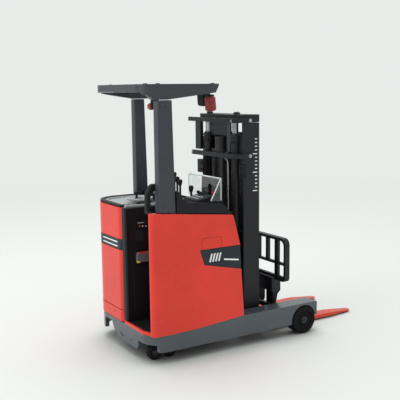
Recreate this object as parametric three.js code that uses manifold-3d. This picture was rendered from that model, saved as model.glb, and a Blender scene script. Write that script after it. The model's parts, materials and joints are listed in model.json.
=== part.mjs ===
// Stand-on reach truck, a 1:25 die-cast toy forklift.
// Millimetres. X runs forward to the fork tips, Y to the truck's left, Z up from the ground.
// Stations (X) are measured from the rear face; the outer group moves the middle to X = 0.

import * as THREE from 'three';
import { mergeVertices } from 'three/addons/utils/BufferGeometryUtils.js';
import Module from 'manifold-3d';

const wasm = await Module();
wasm.setup();

// ---- driving dimensions ----
const REAR = -0.5;
const FORK_TIP = 94.9;
const HALF_WIDTH = 21.8;
const ROOF_TOP = 90;
const GAP = 0.3;
const SEAM = 0.15;

const WALL = 1.6;
const SKIRT_BOTTOM = 4.1;
const SKIRT_TOP = 9.6;
const CORNER = 6.5;
const LEFT_CORNER = 9;
const SKIRT_INSET = 0.2;

const LEG_INNER = 15.8;
const LEG_TOP = 11.2;
const LEG_END = 68.9;
const BODY_END = 36.2;

const HOOD_TOP = 49.4;
const HOOD_END = 16.2;
const HOOD_RIGHT = -1.9;
const HOOD_CORNER = 9;
const HOOD_EDGE = 2.2;
const HOOD_SEAM = 14;

const CAB_LEFT = -4.4;
const CAB_RIGHT = -19.9;
const CAB_FRONT = 17.4;
const FLOOR_TOP = 10.8;
const SILL = 0.7;
const PANEL_REAR = 1;

const LOAD_WHEEL = { x: 62.8, radius: 5, inner: 16.9, outer: 22.2, bore: 1.25 };
const LEG_CHEEK = 16.6;
const DRIVE_WHEEL = { x: 12, y: 9, radius: 5.6, width: 4, bore: 0.9 };
const CASTER = { x: 7.5, y: -15, reach: 2.8, radius: 2.6, width: 2.4, bore: 0.6 };

const MAST_REAR = 42;
const MAST_FRONT = 48.85;
const MAST_HALF = 13.3;
const RAIL_TOP = 76.6;
const RAIL_FOOT = 6.2;
const BEAM_TOP = 79.4;
const INNER_REAR = 44.4;
const INNER_FRONT = 47.3;
const INNER_HALF = 12;
const ROD_X = 42.4;
const ROD_Y = 8.7;
const CYLINDER_TOP = 72;

const CARRIAGE_BACK = 54;
const BACKREST_FRONT = 57.8;
const BACKREST_HALF = 19.4;
const BACKREST_FOOT = 19.3;
const BACKREST_TOP = 35.15;
const FORK_BACK = 55.7;
const FORK_Y = 10.4;
const FORK_HALF = 2.1;

const ROLLER = { rear: 29.4, front: 37.8, radius: 2, z: 7.6, inner: 16.2, outer: 18 };

const PILLAR_INNER = 18.4;
const PILLAR_OUTER = 21.4;
const PILLAR_HEAD = 85;
const ROOF_LINING = 88;
const ROOF_FRONT = 28.4;
const ROOF_HALF = 21;
const ROOF_RIM = 2.6;

const TRAY_TOP = 49.95;
const RIM_HEIGHTS = [49.55, 50.25];
const STEERING = { x: 10.4, y: 4.6, z: 49.8 };
const LEVERS = [
  { name: 'lift_lever', x: 24.2, y: 4, height: 7.2, grip: 0.65 },
  { name: 'reach_lever', x: 24.2, y: 2, height: 5.8, grip: 0.65 },
  { name: 'tilt_lever', x: 24.2, y: 0, height: 5, grip: 0.65 },
  { name: 'travel_lever', x: 24.2, y: -7.5, height: 3.6, grip: 0.7 },
];
const LEVER_ROOT = 50.7;

// The upper edge of the chassis casting, which the side panels sit on.
const SILL_LINE = [[REAR, SKIRT_TOP], [HOOD_END, 9.75], [BODY_END, LEG_TOP]];

const SIDE_PROFILE = [
  [PANEL_REAR, SKIRT_TOP + SEAM],
  [HOOD_END, 9.75 + SEAM],
  [BODY_END, LEG_TOP + SEAM],
  [35, 29.2],
  [34.6, 36.5],
  [31.85, 46.8, 0.8],
  [9.6, 49.1],
  [PANEL_REAR, 50, 0.6],
];
const BADGE_PROFILE = [[18.7, 36.3, 0.3], [20.4, 31.1, 0.3], [35.25, 27.8], [34.85, 36.3]];
const HATCH = { x: [19.4, 27.2], z: [35.9, 40.2], line: 0.3, depth: 0.3 };

// ---- finishes ----
function finish(color, roughness, metalness) {
  return new THREE.MeshStandardMaterial({ color, roughness, metalness });
}
const RED = finish(0xd6442f, 0.35, 0);
const FORK_RED = finish(0xde502d, 0.4, 0.1);
const GREY = finish(0x4b525a, 0.45, 0.1);
const GUARD_GREY = finish(0x3c3f46, 0.45, 0.1);
const MAST_BLACK = finish(0x2d2b30, 0.45, 0.1);
const PLASTIC_BLACK = finish(0x1e1d20, 0.6, 0);
const BADGE_GREY = finish(0x30363c, 0.4, 0);
const TRAY_GREY = finish(0x9aa0a3, 0.4, 0);
const TYRE = finish(0x373635, 0.8, 0);
const CHROME = finish(0xc8cacc, 0.15, 1);
const CLEAR = finish(0xe8eeee, 0.05, 0);
const LENS_RED = finish(0xd9352a, 0.2, 0);

// ---- solids ----
function solidOf(geometry) {
  geometry.deleteAttribute('normal');
  geometry.deleteAttribute('uv');
  const merged = mergeVertices(geometry, 1e-4);
  return new wasm.Manifold(new wasm.Mesh({
    numProp: 3,
    vertProperties: new Float32Array(merged.attributes.position.array),
    triVerts: new Uint32Array(merged.index.array),
  }));
}

function geometryOf(solid) {
  const mesh = solid.getMesh();
  const geometry = new THREE.BufferGeometry();
  geometry.setAttribute('position', new THREE.BufferAttribute(mesh.vertProperties, 3));
  geometry.setIndex(new THREE.BufferAttribute(mesh.triVerts, 1));
  geometry.computeVertexNormals();
  return geometry;
}

function block([x0, x1], [y0, y1], [z0, z1]) {
  const geometry = new THREE.BoxGeometry(x1 - x0, y1 - y0, z1 - z0);
  geometry.translate((x0 + x1) / 2, (y0 + y1) / 2, (z0 + z1) / 2);
  return solidOf(geometry);
}

// A closed outline of [a, b] or [a, b, cornerRadius] points, rounded with true arcs.
function outline(points) {
  const path = new THREE.Shape();
  points.forEach(([a, b, radius = 0], index) => {
    const corner = new THREE.Vector2(a, b);
    const before = points[(index + points.length - 1) % points.length];
    const after = points[(index + 1) % points.length];
    const back = new THREE.Vector2(before[0], before[1]).sub(corner).normalize();
    const ahead = new THREE.Vector2(after[0], after[1]).sub(corner).normalize();
    const half = Math.acos(THREE.MathUtils.clamp(back.dot(ahead), -1, 1)) / 2;
    const run = radius / Math.tan(half);
    const start = corner.clone().addScaledVector(back, run);
    const end = corner.clone().addScaledVector(ahead, run);
    if (index === 0) path.moveTo(start.x, start.y);
    else path.lineTo(start.x, start.y);
    if (radius > 0) {
      const middle = back.add(ahead).normalize();
      const centre = corner.clone().addScaledVector(middle, radius / Math.sin(half));
      const from = Math.atan2(start.y - centre.y, start.x - centre.x);
      const to = Math.atan2(end.y - centre.y, end.x - centre.x);
      const turn = (start.x - centre.x) * (end.y - centre.y) - (start.y - centre.y) * (end.x - centre.x);
      path.absarc(centre.x, centre.y, radius, from, to, turn < 0);
    }
  });
  path.closePath();
  return path;
}

function extruded(points, depth, curveSegments) {
  return new THREE.ExtrudeGeometry(outline(points), { depth, bevelEnabled: false, curveSegments });
}

const AXIS_X = new THREE.Vector3(1, 0, 0);
const AXIS_Y = new THREE.Vector3(0, 1, 0);
const AXIS_Z = new THREE.Vector3(0, 0, 1);

// Outline of [x, y] seen from above, between two heights.
function fromAbove(points, [z0, z1], curveSegments = 3) {
  return solidOf(extruded(points, z1 - z0, curveSegments).translate(0, 0, z0));
}

// Outline of [x, z] seen from the truck's right side, between two Y planes.
function fromSide(points, [y0, y1], curveSegments = 3) {
  const geometry = extruded(points, y1 - y0, curveSegments);
  geometry.applyMatrix4(new THREE.Matrix4().makeBasis(AXIS_X, AXIS_Z, AXIS_Y.clone().negate()));
  return solidOf(geometry.translate(0, y1, 0));
}

// Outline of [y, z] seen along X, between two stations.
function fromFront(points, [x0, x1], curveSegments = 3) {
  const geometry = extruded(points, x1 - x0, curveSegments);
  geometry.applyMatrix4(new THREE.Matrix4().makeBasis(AXIS_Y, AXIS_Z, AXIS_X));
  return solidOf(geometry.translate(x0, 0, 0));
}

// Turned solid about +Z: profile of [radius, height] points that starts and ends on the axis.
function turned(profile, segments) {
  const points = profile.map(([radius, height]) => new THREE.Vector2(radius, height));
  return new THREE.LatheGeometry(points, segments).rotateX(Math.PI / 2);
}

function upright(profile, [x, y, z], segments = 16) {
  return solidOf(turned(profile, segments).translate(x, y, z));
}

// Turned solid about +Y, with one facet corner straight down.
function sideways(profile, [x, y, z], segments = 24) {
  return solidOf(turned(profile, segments).rotateX(-Math.PI / 2).translate(x, y, z));
}

function post([x, y], radius, [z0, z1], segments = 14) {
  return upright([[0, 0], [radius, 0], [radius, z1 - z0], [0, z1 - z0]], [x, y, z0], segments);
}

function pin([x, z], radius, [y0, y1], segments = 14) {
  return sideways([[0, 0], [radius, 0], [radius, y1 - y0], [0, y1 - y0]], [x, y0, z], segments);
}

function joined(...solids) {
  return solids.reduce((whole, next) => whole.add(next));
}

function cut(solid, ...tools) {
  return tools.reduce((rest, tool) => rest.subtract(tool), solid);
}

// The Y range from a to b on the truck's left (side 1) or right (side -1).
function span(side, a, b) {
  return side > 0 ? [a, b] : [-b, -a];
}

// ---- scene graph ----
const truck = new THREE.Group();
truck.position.x = -(REAR + FORK_TIP) / 2;

function group(parent) {
  const child = new THREE.Group();
  parent.add(child);
  return child;
}

function piece(parent, name, material, solid) {
  const mesh = new THREE.Mesh(geometryOf(solid), material);
  mesh.name = name;
  parent.add(mesh);
}

const SIDES = [[1, 'left'], [-1, 'right']];

// ---- chassis casting ----
function rearPlan(inset) {
  return [
    [inset, -HALF_WIDTH + inset, CORNER - inset],
    [BODY_END, -HALF_WIDTH + inset],
    [BODY_END, HALF_WIDTH - inset],
    [inset, HALF_WIDTH - inset, LEFT_CORNER - inset],
  ];
}

function legBar(side) {
  const profile = [
    [BODY_END - 8, SKIRT_BOTTOM],
    [57.2, SKIRT_BOTTOM - 0.1, 0.6],
    [58.6, 8.2, 1.6],
    [61.4, 10.3, 1.5],
    [65, 10.3, 1.5],
    [67.4, 7.6, 1],
    [67.9, 6, 0.3],
    [LEG_END, 6, 0.4],
    [LEG_END, LEG_TOP, 0.6],
    [BODY_END, LEG_TOP],
    [BODY_END - 8, SKIRT_TOP],
  ];
  const cheek = [
    [BODY_END - 8, SKIRT_BOTTOM],
    [LEG_END - 0.2, SKIRT_BOTTOM, 2],
    [LEG_END - 0.2, LEG_TOP, 0.6],
    [BODY_END, LEG_TOP],
    [BODY_END - 8, SKIRT_TOP],
  ];
  return joined(
    fromSide(profile, span(side, LEG_INNER, HALF_WIDTH - SKIRT_INSET)),
    fromSide(cheek, span(side, LEG_INNER, LEG_CHEEK)),
  );
}

function baseFrame() {
  const belowSill = fromSide([...SILL_LINE, [BODY_END, 0], [REAR, 0]], [-HALF_WIDTH - 1, HALF_WIDTH + 1]);
  const skirt = cut(
    fromAbove(rearPlan(SKIRT_INSET), [SKIRT_BOTTOM, LEG_TOP], 8).intersect(belowSill),
    fromAbove(rearPlan(WALL), [SKIRT_BOTTOM - 1, LEG_TOP + 1], 8),
  );
  const apron = block([0.2, WALL], [-11.5, 4.5], [3.3, 6]);
  const shelf = fromAbove(rearPlan(1), [SKIRT_TOP - 1.2, SKIRT_TOP], 8)
    .intersect(block([0, BODY_END - 9], [-HALF_WIDTH, HALF_WIDTH], [0, SKIRT_TOP]));
  const driveWell = upright([[0, 0], [7, 0], [7, 8], [0, 8]], [DRIVE_WHEEL.x, DRIVE_WHEEL.y, 3], 20);
  const casterNotch = fromSide([[-1, 0], [3.6, 0], [3.6, 6.6, 1.2], [-1, 6.6]], [-HALF_WIDTH - 1, -12.2]);
  const driveNotch = fromFront(
    [[3.9, 0], [4.05, 4.4], [6.4, 5.9, 1], [7.9, 8.1, 0.6], [13.4, 8.1, 0.6], [13.4, 0]],
    [-1, 3.6],
  );
  const body = cut(joined(skirt, apron, shelf), driveWell, casterNotch, driveNotch);
  const legs = SIDES.map(([side]) => {
    const wheelRoom = pin(
      [LOAD_WHEEL.x, LOAD_WHEEL.radius],
      LOAD_WHEEL.radius + 0.5,
      span(side, LEG_CHEEK, HALF_WIDTH + 1),
      24,
    );
    const axleSpan = span(side, LEG_INNER, HALF_WIDTH + 0.1);
    const axle = pin([LOAD_WHEEL.x, LOAD_WHEEL.radius], LOAD_WHEEL.bore - SEAM, axleSpan);
    return cut(legBar(side), wheelRoom).add(axle);
  });
  const rollerChannels = SIDES.map(([side]) => block(
    [BODY_END - 9.5, 57],
    span(side, LEG_INNER - 1, ROLLER.outer + 0.2),
    [ROLLER.z - ROLLER.radius - 0.25, ROLLER.z + ROLLER.radius + 0.25],
  ));
  return cut(joined(body, ...legs), ...rollerChannels);
}

// ---- body panels ----
function hatchGroove(y) {
  const [x0, x1] = HATCH.x;
  const [z0, z1] = HATCH.z;
  const ring = (inset) => [
    [x0 + inset, z0 + inset, 1 - inset],
    [x1 - inset, z0 + inset, 1 - inset],
    [x1 - inset, z1 - inset, 1 - inset],
    [x0 + inset, z1 - inset, 1 - inset],
  ];
  return cut(fromSide(ring(0), y, 2), fromSide(ring(HATCH.line), y, 2));
}

function sidePanelRight() {
  const plate = fromSide(SIDE_PROFILE, [-HALF_WIDTH, CAB_RIGHT]);
  const sill = cut(
    fromAbove(rearPlan(0), [SKIRT_TOP + SEAM, FLOOR_TOP], 8),
    fromAbove(rearPlan(SILL), [SKIRT_TOP, 12], 8),
    block([9, 40], [-25, 25], [9, 12]),
    block([-1, 40], [HOOD_RIGHT - 1, 25], [9, 12]),
  );
  const badge = fromSide(BADGE_PROFILE, [-HALF_WIDTH - 1, -HALF_WIDTH + 0.6]);
  const cornerUpper = cut(
    block([-1, PANEL_REAR + 1.6], [-HALF_WIDTH - 1, -HALF_WIDTH + 1.6], [9, 60]),
    post([PANEL_REAR + 1.6, -HALF_WIDTH + 1.6], 1.6, [8, 61], 20),
  );
  const groove = hatchGroove([-HALF_WIDTH - 1, -HALF_WIDTH + HATCH.depth]);
  return cut(joined(plate, sill), cornerUpper, badge, groove);
}

function sidePanelLeft() {
  const front = SIDE_PROFILE.slice(2, 6);
  const profile = [[HOOD_END + SEAM, 9.75 + SEAM + 0.02], ...front, [HOOD_END + SEAM, 48.4]];
  const badge = fromSide(BADGE_PROFILE, [HALF_WIDTH - 0.6, HALF_WIDTH + 1]);
  return cut(fromSide(profile, [HALF_WIDTH - WALL, HALF_WIDTH]), badge);
}

function badge(side) {
  const inset = BADGE_PROFILE.map(([x, z]) => [26.5 + (x - 26.5) * 0.975, 32.5 + (z - 32.5) * 0.965]);
  return fromSide(inset, span(side, HALF_WIDTH - 0.5, HALF_WIDTH + 0.05));
}

function hoodWall(outer, inner, heights) {
  const plan = (inset) => [
    [inset, HOOD_RIGHT, HOOD_EDGE - inset],
    [HOOD_END, HOOD_RIGHT],
    [HOOD_END, HALF_WIDTH - inset],
    [inset, HALF_WIDTH - inset, HOOD_CORNER - inset],
  ];
  const core = plan(inner);
  core[0] = [inner, HOOD_RIGHT - 1];
  core[1] = [HOOD_END + 1, HOOD_RIGHT - 1];
  core[2][0] += 1;
  return cut(fromAbove(plan(outer), heights, 12), fromAbove(core, [heights[0] - 1, heights[1] + 1], 12));
}

// Quarter ring round the hood's right rear edge, between two insets.
function hoodEdge(outer, inner, heights) {
  const centre = [HOOD_EDGE, HOOD_RIGHT + HOOD_EDGE];
  const ring = cut(
    post(centre, HOOD_EDGE - outer, heights, 48),
    post(centre, HOOD_EDGE - inner, [heights[0] - 1, heights[1] + 1], 48),
  );
  return ring.intersect(block([-1, 1.9], [HOOD_RIGHT - 1, HOOD_RIGHT + HOOD_EDGE], heights));
}

function rearCoverUpper() {
  const heights = [34.8, 38.6];
  const groove = hoodWall(-0.5, 0.6, heights).add(hoodEdge(-0.5, 0.6, heights));
  return cut(hoodWall(0, 1.4, [HOOD_SEAM + SEAM, HOOD_TOP]), groove);
}

function rearBand() {
  const heights = [34.95, 38.45];
  return hoodWall(0, 0.45, heights).add(hoodEdge(0, 0.45, heights));
}

// Plan of the tray on the hood: open to the compartment on the right.
function trayPlan(inset, right) {
  return [
    [inset, right],
    [HOOD_END - 0.6 * inset, right],
    [HOOD_END - 0.6 * inset, HALF_WIDTH - inset],
    [inset, HALF_WIDTH - inset, HOOD_CORNER - inset],
  ];
}

function topTray() {
  const base = fromAbove(trayPlan(1.6, HOOD_RIGHT), [46.6, HOOD_TOP], 10);
  const floor = fromAbove(trayPlan(1.9, HOOD_RIGHT), [HOOD_TOP - 0.4, TRAY_TOP], 10);
  const dish = fromAbove(trayPlan(2.6, HOOD_RIGHT + 0.9), [TRAY_TOP - 0.5, TRAY_TOP + 1], 10);
  const steeringSeat = post([STEERING.x, STEERING.y], 1.6, [HOOD_TOP - 1, STEERING.z - SEAM], 16);
  return joined(cut(joined(base, floor), dish), steeringSeat);
}

function trayRim() {
  return cut(
    fromAbove(trayPlan(SEAM, HOOD_RIGHT + 0.7), RIM_HEIGHTS, 10),
    fromAbove(trayPlan(1.75, HOOD_RIGHT - 1), [49, 51], 10),
  );
}

// ---- operator's compartment ----
function compartmentLiner() {
  const profile = [
    [0.3, HOOD_RIGHT - SEAM],
    [0.3, CAB_LEFT, 0.5],
    [CAB_FRONT, CAB_LEFT],
    [CAB_FRONT, CAB_RIGHT + SEAM],
    [CAB_FRONT + 1, CAB_RIGHT + SEAM],
    [CAB_FRONT + 1, HOOD_RIGHT - SEAM],
  ];
  return fromAbove(profile, [FLOOR_TOP + SEAM, HOOD_TOP], 2);
}

function floorMat() {
  const mat = block(
    [SILL + SEAM, CAB_FRONT + 1],
    [CAB_RIGHT + SEAM, CAB_LEFT + 1.4],
    [SKIRT_TOP + SEAM, FLOOR_TOP],
  );
  const cornerRoom = fromAbove(rearPlan(SILL + SEAM), [9, 12], 8);
  return mat.intersect(cornerRoom);
}

// Moulded console: the dash across the body and the wing beside the compartment.
function consoleShell() {
  const dash = fromSide(
    [
      [CAB_FRONT + 1.3, 47.6],
      [31.2, 46.2],
      [31.2, 47.2, 0.3],
      [27.7, 50.7, 0.5],
      [CAB_FRONT + 1.3, 51.6, 0.5],
    ],
    [CAB_RIGHT, 18],
  );
  const wing = fromSide(
    [
      [10.4, 57.6, 0.4],
      [10.4, 49.4],
      [31.9, 47.1, 0.2],
      [27.85, 50.9, 0.6],
      [14.6, 52.4, 0.8],
      [12.2, 54.2, 0.8],
    ],
    [-HALF_WIDTH + 0.1, CAB_RIGHT],
  );
  const rest = fromSide([[10.4, 50.4], [19, 49.6], [19, 51.5], [10.4, 52.4, 0.4]], [CAB_RIGHT, -16.4]);
  const leverSlots = block([21.4, 27], [-3.4, 5.4], [49.4, 53]);
  const shortSlot = block([21.4, 27], [-9, -6], [49.4, 53]);
  return cut(joined(dash, wing, rest), leverSlots, shortSlot);
}

function hipRail() {
  const outer = [
    [1.3, 49.3],
    [1.3, 55.4, 1],
    [3, 58.8, 1.6],
    [7.6, 58.8, 1.6],
    [9.1, 55.4, 1],
    [9.1, 49.3],
  ];
  const inner = [
    [2.9, 49],
    [2.9, 54.6, 0.8],
    [4.2, 56.6, 1],
    [6.4, 56.6, 1],
    [7.5, 54.6, 0.8],
    [7.5, 49],
  ];
  const hoop = cut(fromSide(outer, [-18.3, -16.5]), fromSide(inner, [-19, -16]));
  return hoop.add(block([1.3, 2.9], [CAB_RIGHT + SEAM, -16.5], [49.3, 50.2]));
}

function windShield() {
  const pane = fromFront([[-19.6, 51.6], [0.5, 51.6], [0.5, 58.9, 0.6], [-19.6, 58.9, 0.6]], [27.9, 28.5]);
  const wing = fromSide([[24.2, 51.6], [28.2, 51.6], [28.2, 58.9]], [-20.2, -19.6]);
  return joined(pane, wing);
}

function lever(height, grip) {
  const stem = [[0, -1.2], [0.4, -1.2], [0.4, height - 1]];
  const knob = [[grip, height - 0.4], [grip, height + 0.7], [0, height + 1.1]];
  return [...stem, ...knob];
}

function steeringWheel() {
  const bowl = [[0, 0], [1.4, 0], [4.4, 0.8], [4.6, 1.4], [4.2, 1.6], [1.6, 1], [0, 1]];
  return upright(bowl, [STEERING.x, STEERING.y, STEERING.z], 32);
}

function steeringKnob() {
  const spool = [[0, 0], [0.75, 0], [0.4, 0.5], [0.4, 1.3], [1.1, 1.9], [1.1, 2.3], [0, 2.5]];
  return upright(spool, [STEERING.x - 2.2, STEERING.y - 2.4, STEERING.z + 1.7], 14);
}

// ---- overhead guard ----
function pillar(side, rear, front, [rearFoot, frontFoot]) {
  const taper = 0.8;
  const profile = [
    [rear, rearFoot],
    [front + taper, frontFoot],
    [front, PILLAR_HEAD],
    [rear, PILLAR_HEAD],
  ];
  return fromSide(profile, span(side, PILLAR_INNER, PILLAR_OUTER));
}

function roofGuard() {
  const rim = (inset, half) => [
    [REAR + inset, -half + inset, 5 - inset / 2],
    [ROOF_FRONT - inset, -half + inset + 1.5, 0.8],
    [ROOF_FRONT - inset, half - inset - 1.5, 0.8],
    [REAR + inset, half - inset, 10 - inset],
  ];
  const ring = cut(
    fromAbove(rim(0, ROOF_HALF), [PILLAR_HEAD + SEAM - 3, ROOF_TOP], 8),
    fromAbove(rim(ROOF_RIM, ROOF_HALF), [80, ROOF_TOP + 1], 8),
  );
  const rightProfile = [
    [REAR - 1, 87.2], [1.5, 86.6, 1], [3.3, PILLAR_HEAD + SEAM, 1], [8.4, PILLAR_HEAD + SEAM, 0.5],
    [26.8, 87.16, 0.3], [ROOF_FRONT, ROOF_TOP], [REAR - 1, ROOF_TOP],
  ];
  const leftProfile = [
    [REAR - 1, 87.9], [16, PILLAR_HEAD + SEAM, 1], [21.6, PILLAR_HEAD + SEAM, 0.5],
    [26.8, 86.75, 0.3], [ROOF_FRONT, ROOF_TOP], [REAR - 1, ROOF_TOP],
  ];
  const sides = joined(fromSide(rightProfile, [-22, 0]), fromSide(leftProfile, [0, 22]));
  const middle = block([REAR - 1, 30], [-18.3, 18.3], [80, 87.4]);
  const bars = [1, 2, 3, 4, 5].map((step) => {
    const x = 1.6 + step * 4;
    return block([x, x + 1.3], [-19, 19], [ROOF_LINING, 89.6]);
  });
  return joined(cut(ring.intersect(sides), middle), ...bars);
}

// Beacon under the roof's front corner and the work lamp between the pillars.
function beaconBase() {
  return fromFront([[-14.9, 82.6, 0.8], [-14.3, 87.2], [-10.6, 87.2], [-11, 82.9, 1]], [25, 28]);
}

function beaconLens() {
  const drum = turned([[0, 0], [1.4, 0], [1.7, 0.3], [1.7, 4.4], [1.4, 4.7], [0, 4.7]], 18);
  return solidOf(drum.rotateX(THREE.MathUtils.degToRad(-8)).translate(26.4, -17.1, 81.2));
}

function workLampBody() {
  const arm = [
    [12.6, ROOF_LINING - 0.9 - SEAM],
    [16.2, ROOF_LINING - SEAM],
    [16.2, 86, 1],
    [14.6, 84.4, 1],
    [14, 82],
    [12.6, 82],
    [12.8, 84.8, 1.5],
    [14, 86.4, 1],
  ];
  return fromSide(arm, [-2.4, -0.6]);
}

function workLampLens() {
  return fromSide([[11.5, 82, 0.4], [12.4, 81.8, 0.3], [12.4, 83.6, 0.3], [11.5, 83.4, 0.4]], [-2.5, -0.5]);
}

// ---- mast ----
function outerRail(side) {
  const web = 1;
  const flange = 0.9;
  const rail = cut(
    block([MAST_REAR, MAST_FRONT], span(side, MAST_HALF - 2.7, MAST_HALF), [RAIL_FOOT, RAIL_TOP]),
    block([MAST_REAR + flange, MAST_FRONT - flange], span(side, MAST_HALF - 4, MAST_HALF - web), [0, 80]),
  );
  const hoseNotch = block([MAST_REAR - 1, 46.2], [MAST_HALF - 4, MAST_HALF + 1], [71, 80]);
  const flangeNotch = block([MAST_REAR - 1, 43.2], [web - MAST_HALF, 4 - MAST_HALF], [72.6, 80]);
  return cut(rail, side > 0 ? hoseNotch : flangeNotch);
}

function mastFoot() {
  const beam = block([MAST_REAR, MAST_FRONT - 0.5], [-10.4, 10.4], [11.2, 12.2]);
  const lug = block([MAST_REAR - 2.4, MAST_REAR + 1.6], [-10.2, 10.2], [11.2, 13.4]);
  return joined(beam, lug);
}

function hoistColumn() {
  const strip = block([39.7, 41.7], [-3.5, 3.5], [13.6, 67]);
  const neck = post([40.9, -0.6], 2, [66, 71.4], 16);
  const chainSeat = block([39.4, 40.4], [-0.9, 0.9], [14.5, 66]);
  return joined(strip, neck, chainSeat);
}

function innerRail(side) {
  const outer = block([INNER_REAR, INNER_FRONT], span(side, 9.9, INNER_HALF), [12.5, RAIL_TOP]);
  const channel = block([INNER_REAR + 0.7, INNER_FRONT - 0.7], span(side, 9, INNER_HALF - 0.8), [0, 80]);
  return cut(outer, channel);
}

function topBeam() {
  const heights = [RAIL_TOP + SEAM, BEAM_TOP];
  const beam = block([MAST_REAR - 0.8, MAST_FRONT], [-MAST_HALF, MAST_HALF + 0.5], heights);
  const nutHeights = [BEAM_TOP - 1, BEAM_TOP + 0.8];
  const pads = SIDES.map(([side]) => post([ROD_X, side * ROD_Y], 1.2, nutHeights, 6));
  return joined(beam, ...pads);
}

function innerCrossPlate() {
  return block([INNER_REAR, INNER_REAR + 0.7], [-9.7, 9.7], [14, 73.2]);
}

function hoseGuard([z0, z1], left, right) {
  const bar = [
    [37.6, left],
    [37.6, -13.6, 2.4],
    [41, -14.7, 1],
    [right, -14.7],
    [right, -13.7],
    [41, -13.7, 1],
    [38.8, -12.6, 1],
    [38.8, left],
  ];
  return fromAbove(bar, [z0, z1], 3);
}

function hoseGuardUpper() {
  const bar = hoseGuard([76.7, 78.2], 16.4, 44.6);
  const plate = block([39.7, 41], [11.2, 14.7], [66.3, 78]);
  const bridge = block([38.2, 39.9], [11.2, 14.7], [76.9, 78]);
  const arm = block([38.2, MAST_REAR - 1.1], [6, 7.6], [76.9, 78]);
  return joined(bar, bridge, plate, arm);
}

function hoseGuardLower() {
  const bar = hoseGuard([64.4, 66], 14.3, 44.6);
  const lug = block([38, 39.4], [-8, -5.4], [64.4, 66]);
  return joined(bar, lug);
}

function liftCylinder(side) {
  const tube = [[0, 0], [1.6, 0], [1.6, 56], [1.9, 56.2], [1.9, 58.4], [1.3, 58.4], [1.3, 1], [0, 1]];
  return upright(tube, [ROD_X - 0.6, side * ROD_Y, CYLINDER_TOP - 58.4], 16);
}

function liftRod(side) {
  return post([ROD_X - 0.6, side * ROD_Y], 1.15, [20, RAIL_TOP], 14);
}

// ---- reach carriage ----
function reachCarriage() {
  const cheeks = SIDES.map(([side]) => fromSide(
    [[27.4, 5.6, 0.8], [50, 5.6, 0.8], [50, 9.2, 0.8], [27.4, 9.2, 0.8]],
    span(side, 14.2, 15.5),
  ));
  const tie = block([39.4, 41.6], [-14.6, 14.6], [5.6, 10.6]);
  const step = block([40.6, 49.6], [-10.2, 10.2], [5.6, 10.9]);
  const shoulders = SIDES.map(([side]) => block([49, 50], span(side, 9, 14.8), [5.6, 9]));
  const pins = SIDES.flatMap(([side]) => [ROLLER.rear, ROLLER.front].map((x) => (
    pin([x, ROLLER.z], 0.7, span(side, 15, ROLLER.outer - 0.2), 10)
  )));
  return joined(...cheeks, tie, step, ...shoulders, ...pins);
}

function reachRoller(side, x) {
  const tread = [[0.85, 0], [ROLLER.radius, 0], [ROLLER.radius, 1.7], [0.85, 1.7], [0.85, 0]];
  const [y0] = span(side, ROLLER.inner, ROLLER.inner + 1.7);
  return sideways(tread, [x, y0, ROLLER.z], 20);
}

// ---- fork carriage ----
function forkCarriage() {
  const upper = block([CARRIAGE_BACK, CARRIAGE_BACK + 1.4], [-14, 14], [15.1, 20.4]);
  const lower = block([CARRIAGE_BACK, CARRIAGE_BACK + 1.4], [-13, 13], [8.4, 10.2]);
  const apron = block([CARRIAGE_BACK, CARRIAGE_BACK + 1], [-4.8, 4.8], [9, 18]);
  const arms = SIDES.map(([side]) => {
    const sidePlate = [
      [45.3, 14],
      [50.4, 14, 1],
      [CARRIAGE_BACK + 0.2, 9, 1],
      [CARRIAGE_BACK + 0.2, 18.8],
      [50.4, 22, 1.5],
      [45.3, 22, 0.5],
    ];
    const shoeDepth = [INNER_REAR + 0.9, INNER_FRONT - 0.9];
    const shoe = block(shoeDepth, span(side, 9.4, INNER_HALF - 1), [14.4, 21.6]);
    return fromSide(sidePlate, span(side, 8.4, 9.6)).add(shoe);
  });
  return joined(upper, lower, apron, ...arms);
}

function loadBackrest() {
  const front = [BACKREST_FRONT - 2, BACKREST_FRONT];
  const bars = [BACKREST_FRONT - 1.2, BACKREST_FRONT - 0.1];
  const frame = (inset) => [
    [-BACKREST_HALF + inset, BACKREST_FOOT + inset, 1.6 - inset / 2],
    [BACKREST_HALF - inset, BACKREST_FOOT + inset, 1.6 - inset / 2],
    [BACKREST_HALF - inset, BACKREST_TOP - inset, 2.4 - inset / 2],
    [-BACKREST_HALF + inset, BACKREST_TOP - inset, 2.4 - inset / 2],
  ];
  const hoop = cut(fromFront(frame(0), front), fromFront(frame(1), [0, 90]));
  const half = BACKREST_HALF - 0.5;
  const rail = block(bars, [-half, half], [25, 25.9]);
  const uprights = [-13, -7.4, -2, 2, 7.4, 13].map((y) => (
    block(bars, Math.abs(y) > 10 ? [y - 0.95, y + 0.95] : [y - 0.7, y + 0.7], [Math.abs(y) > 10 ? BACKREST_FOOT + 0.4 : 25.4, BACKREST_TOP - 0.4])
  ));
  const lowerBand = cut(
    fromFront(frame(0), [BACKREST_FRONT - 2, BACKREST_FRONT - 0.8]),
    block([0, 90], [-20, 20], [BACKREST_FOOT + 1.8, 60]),
  );
  return joined(hoop, rail, ...uprights, lowerBand);
}

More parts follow.
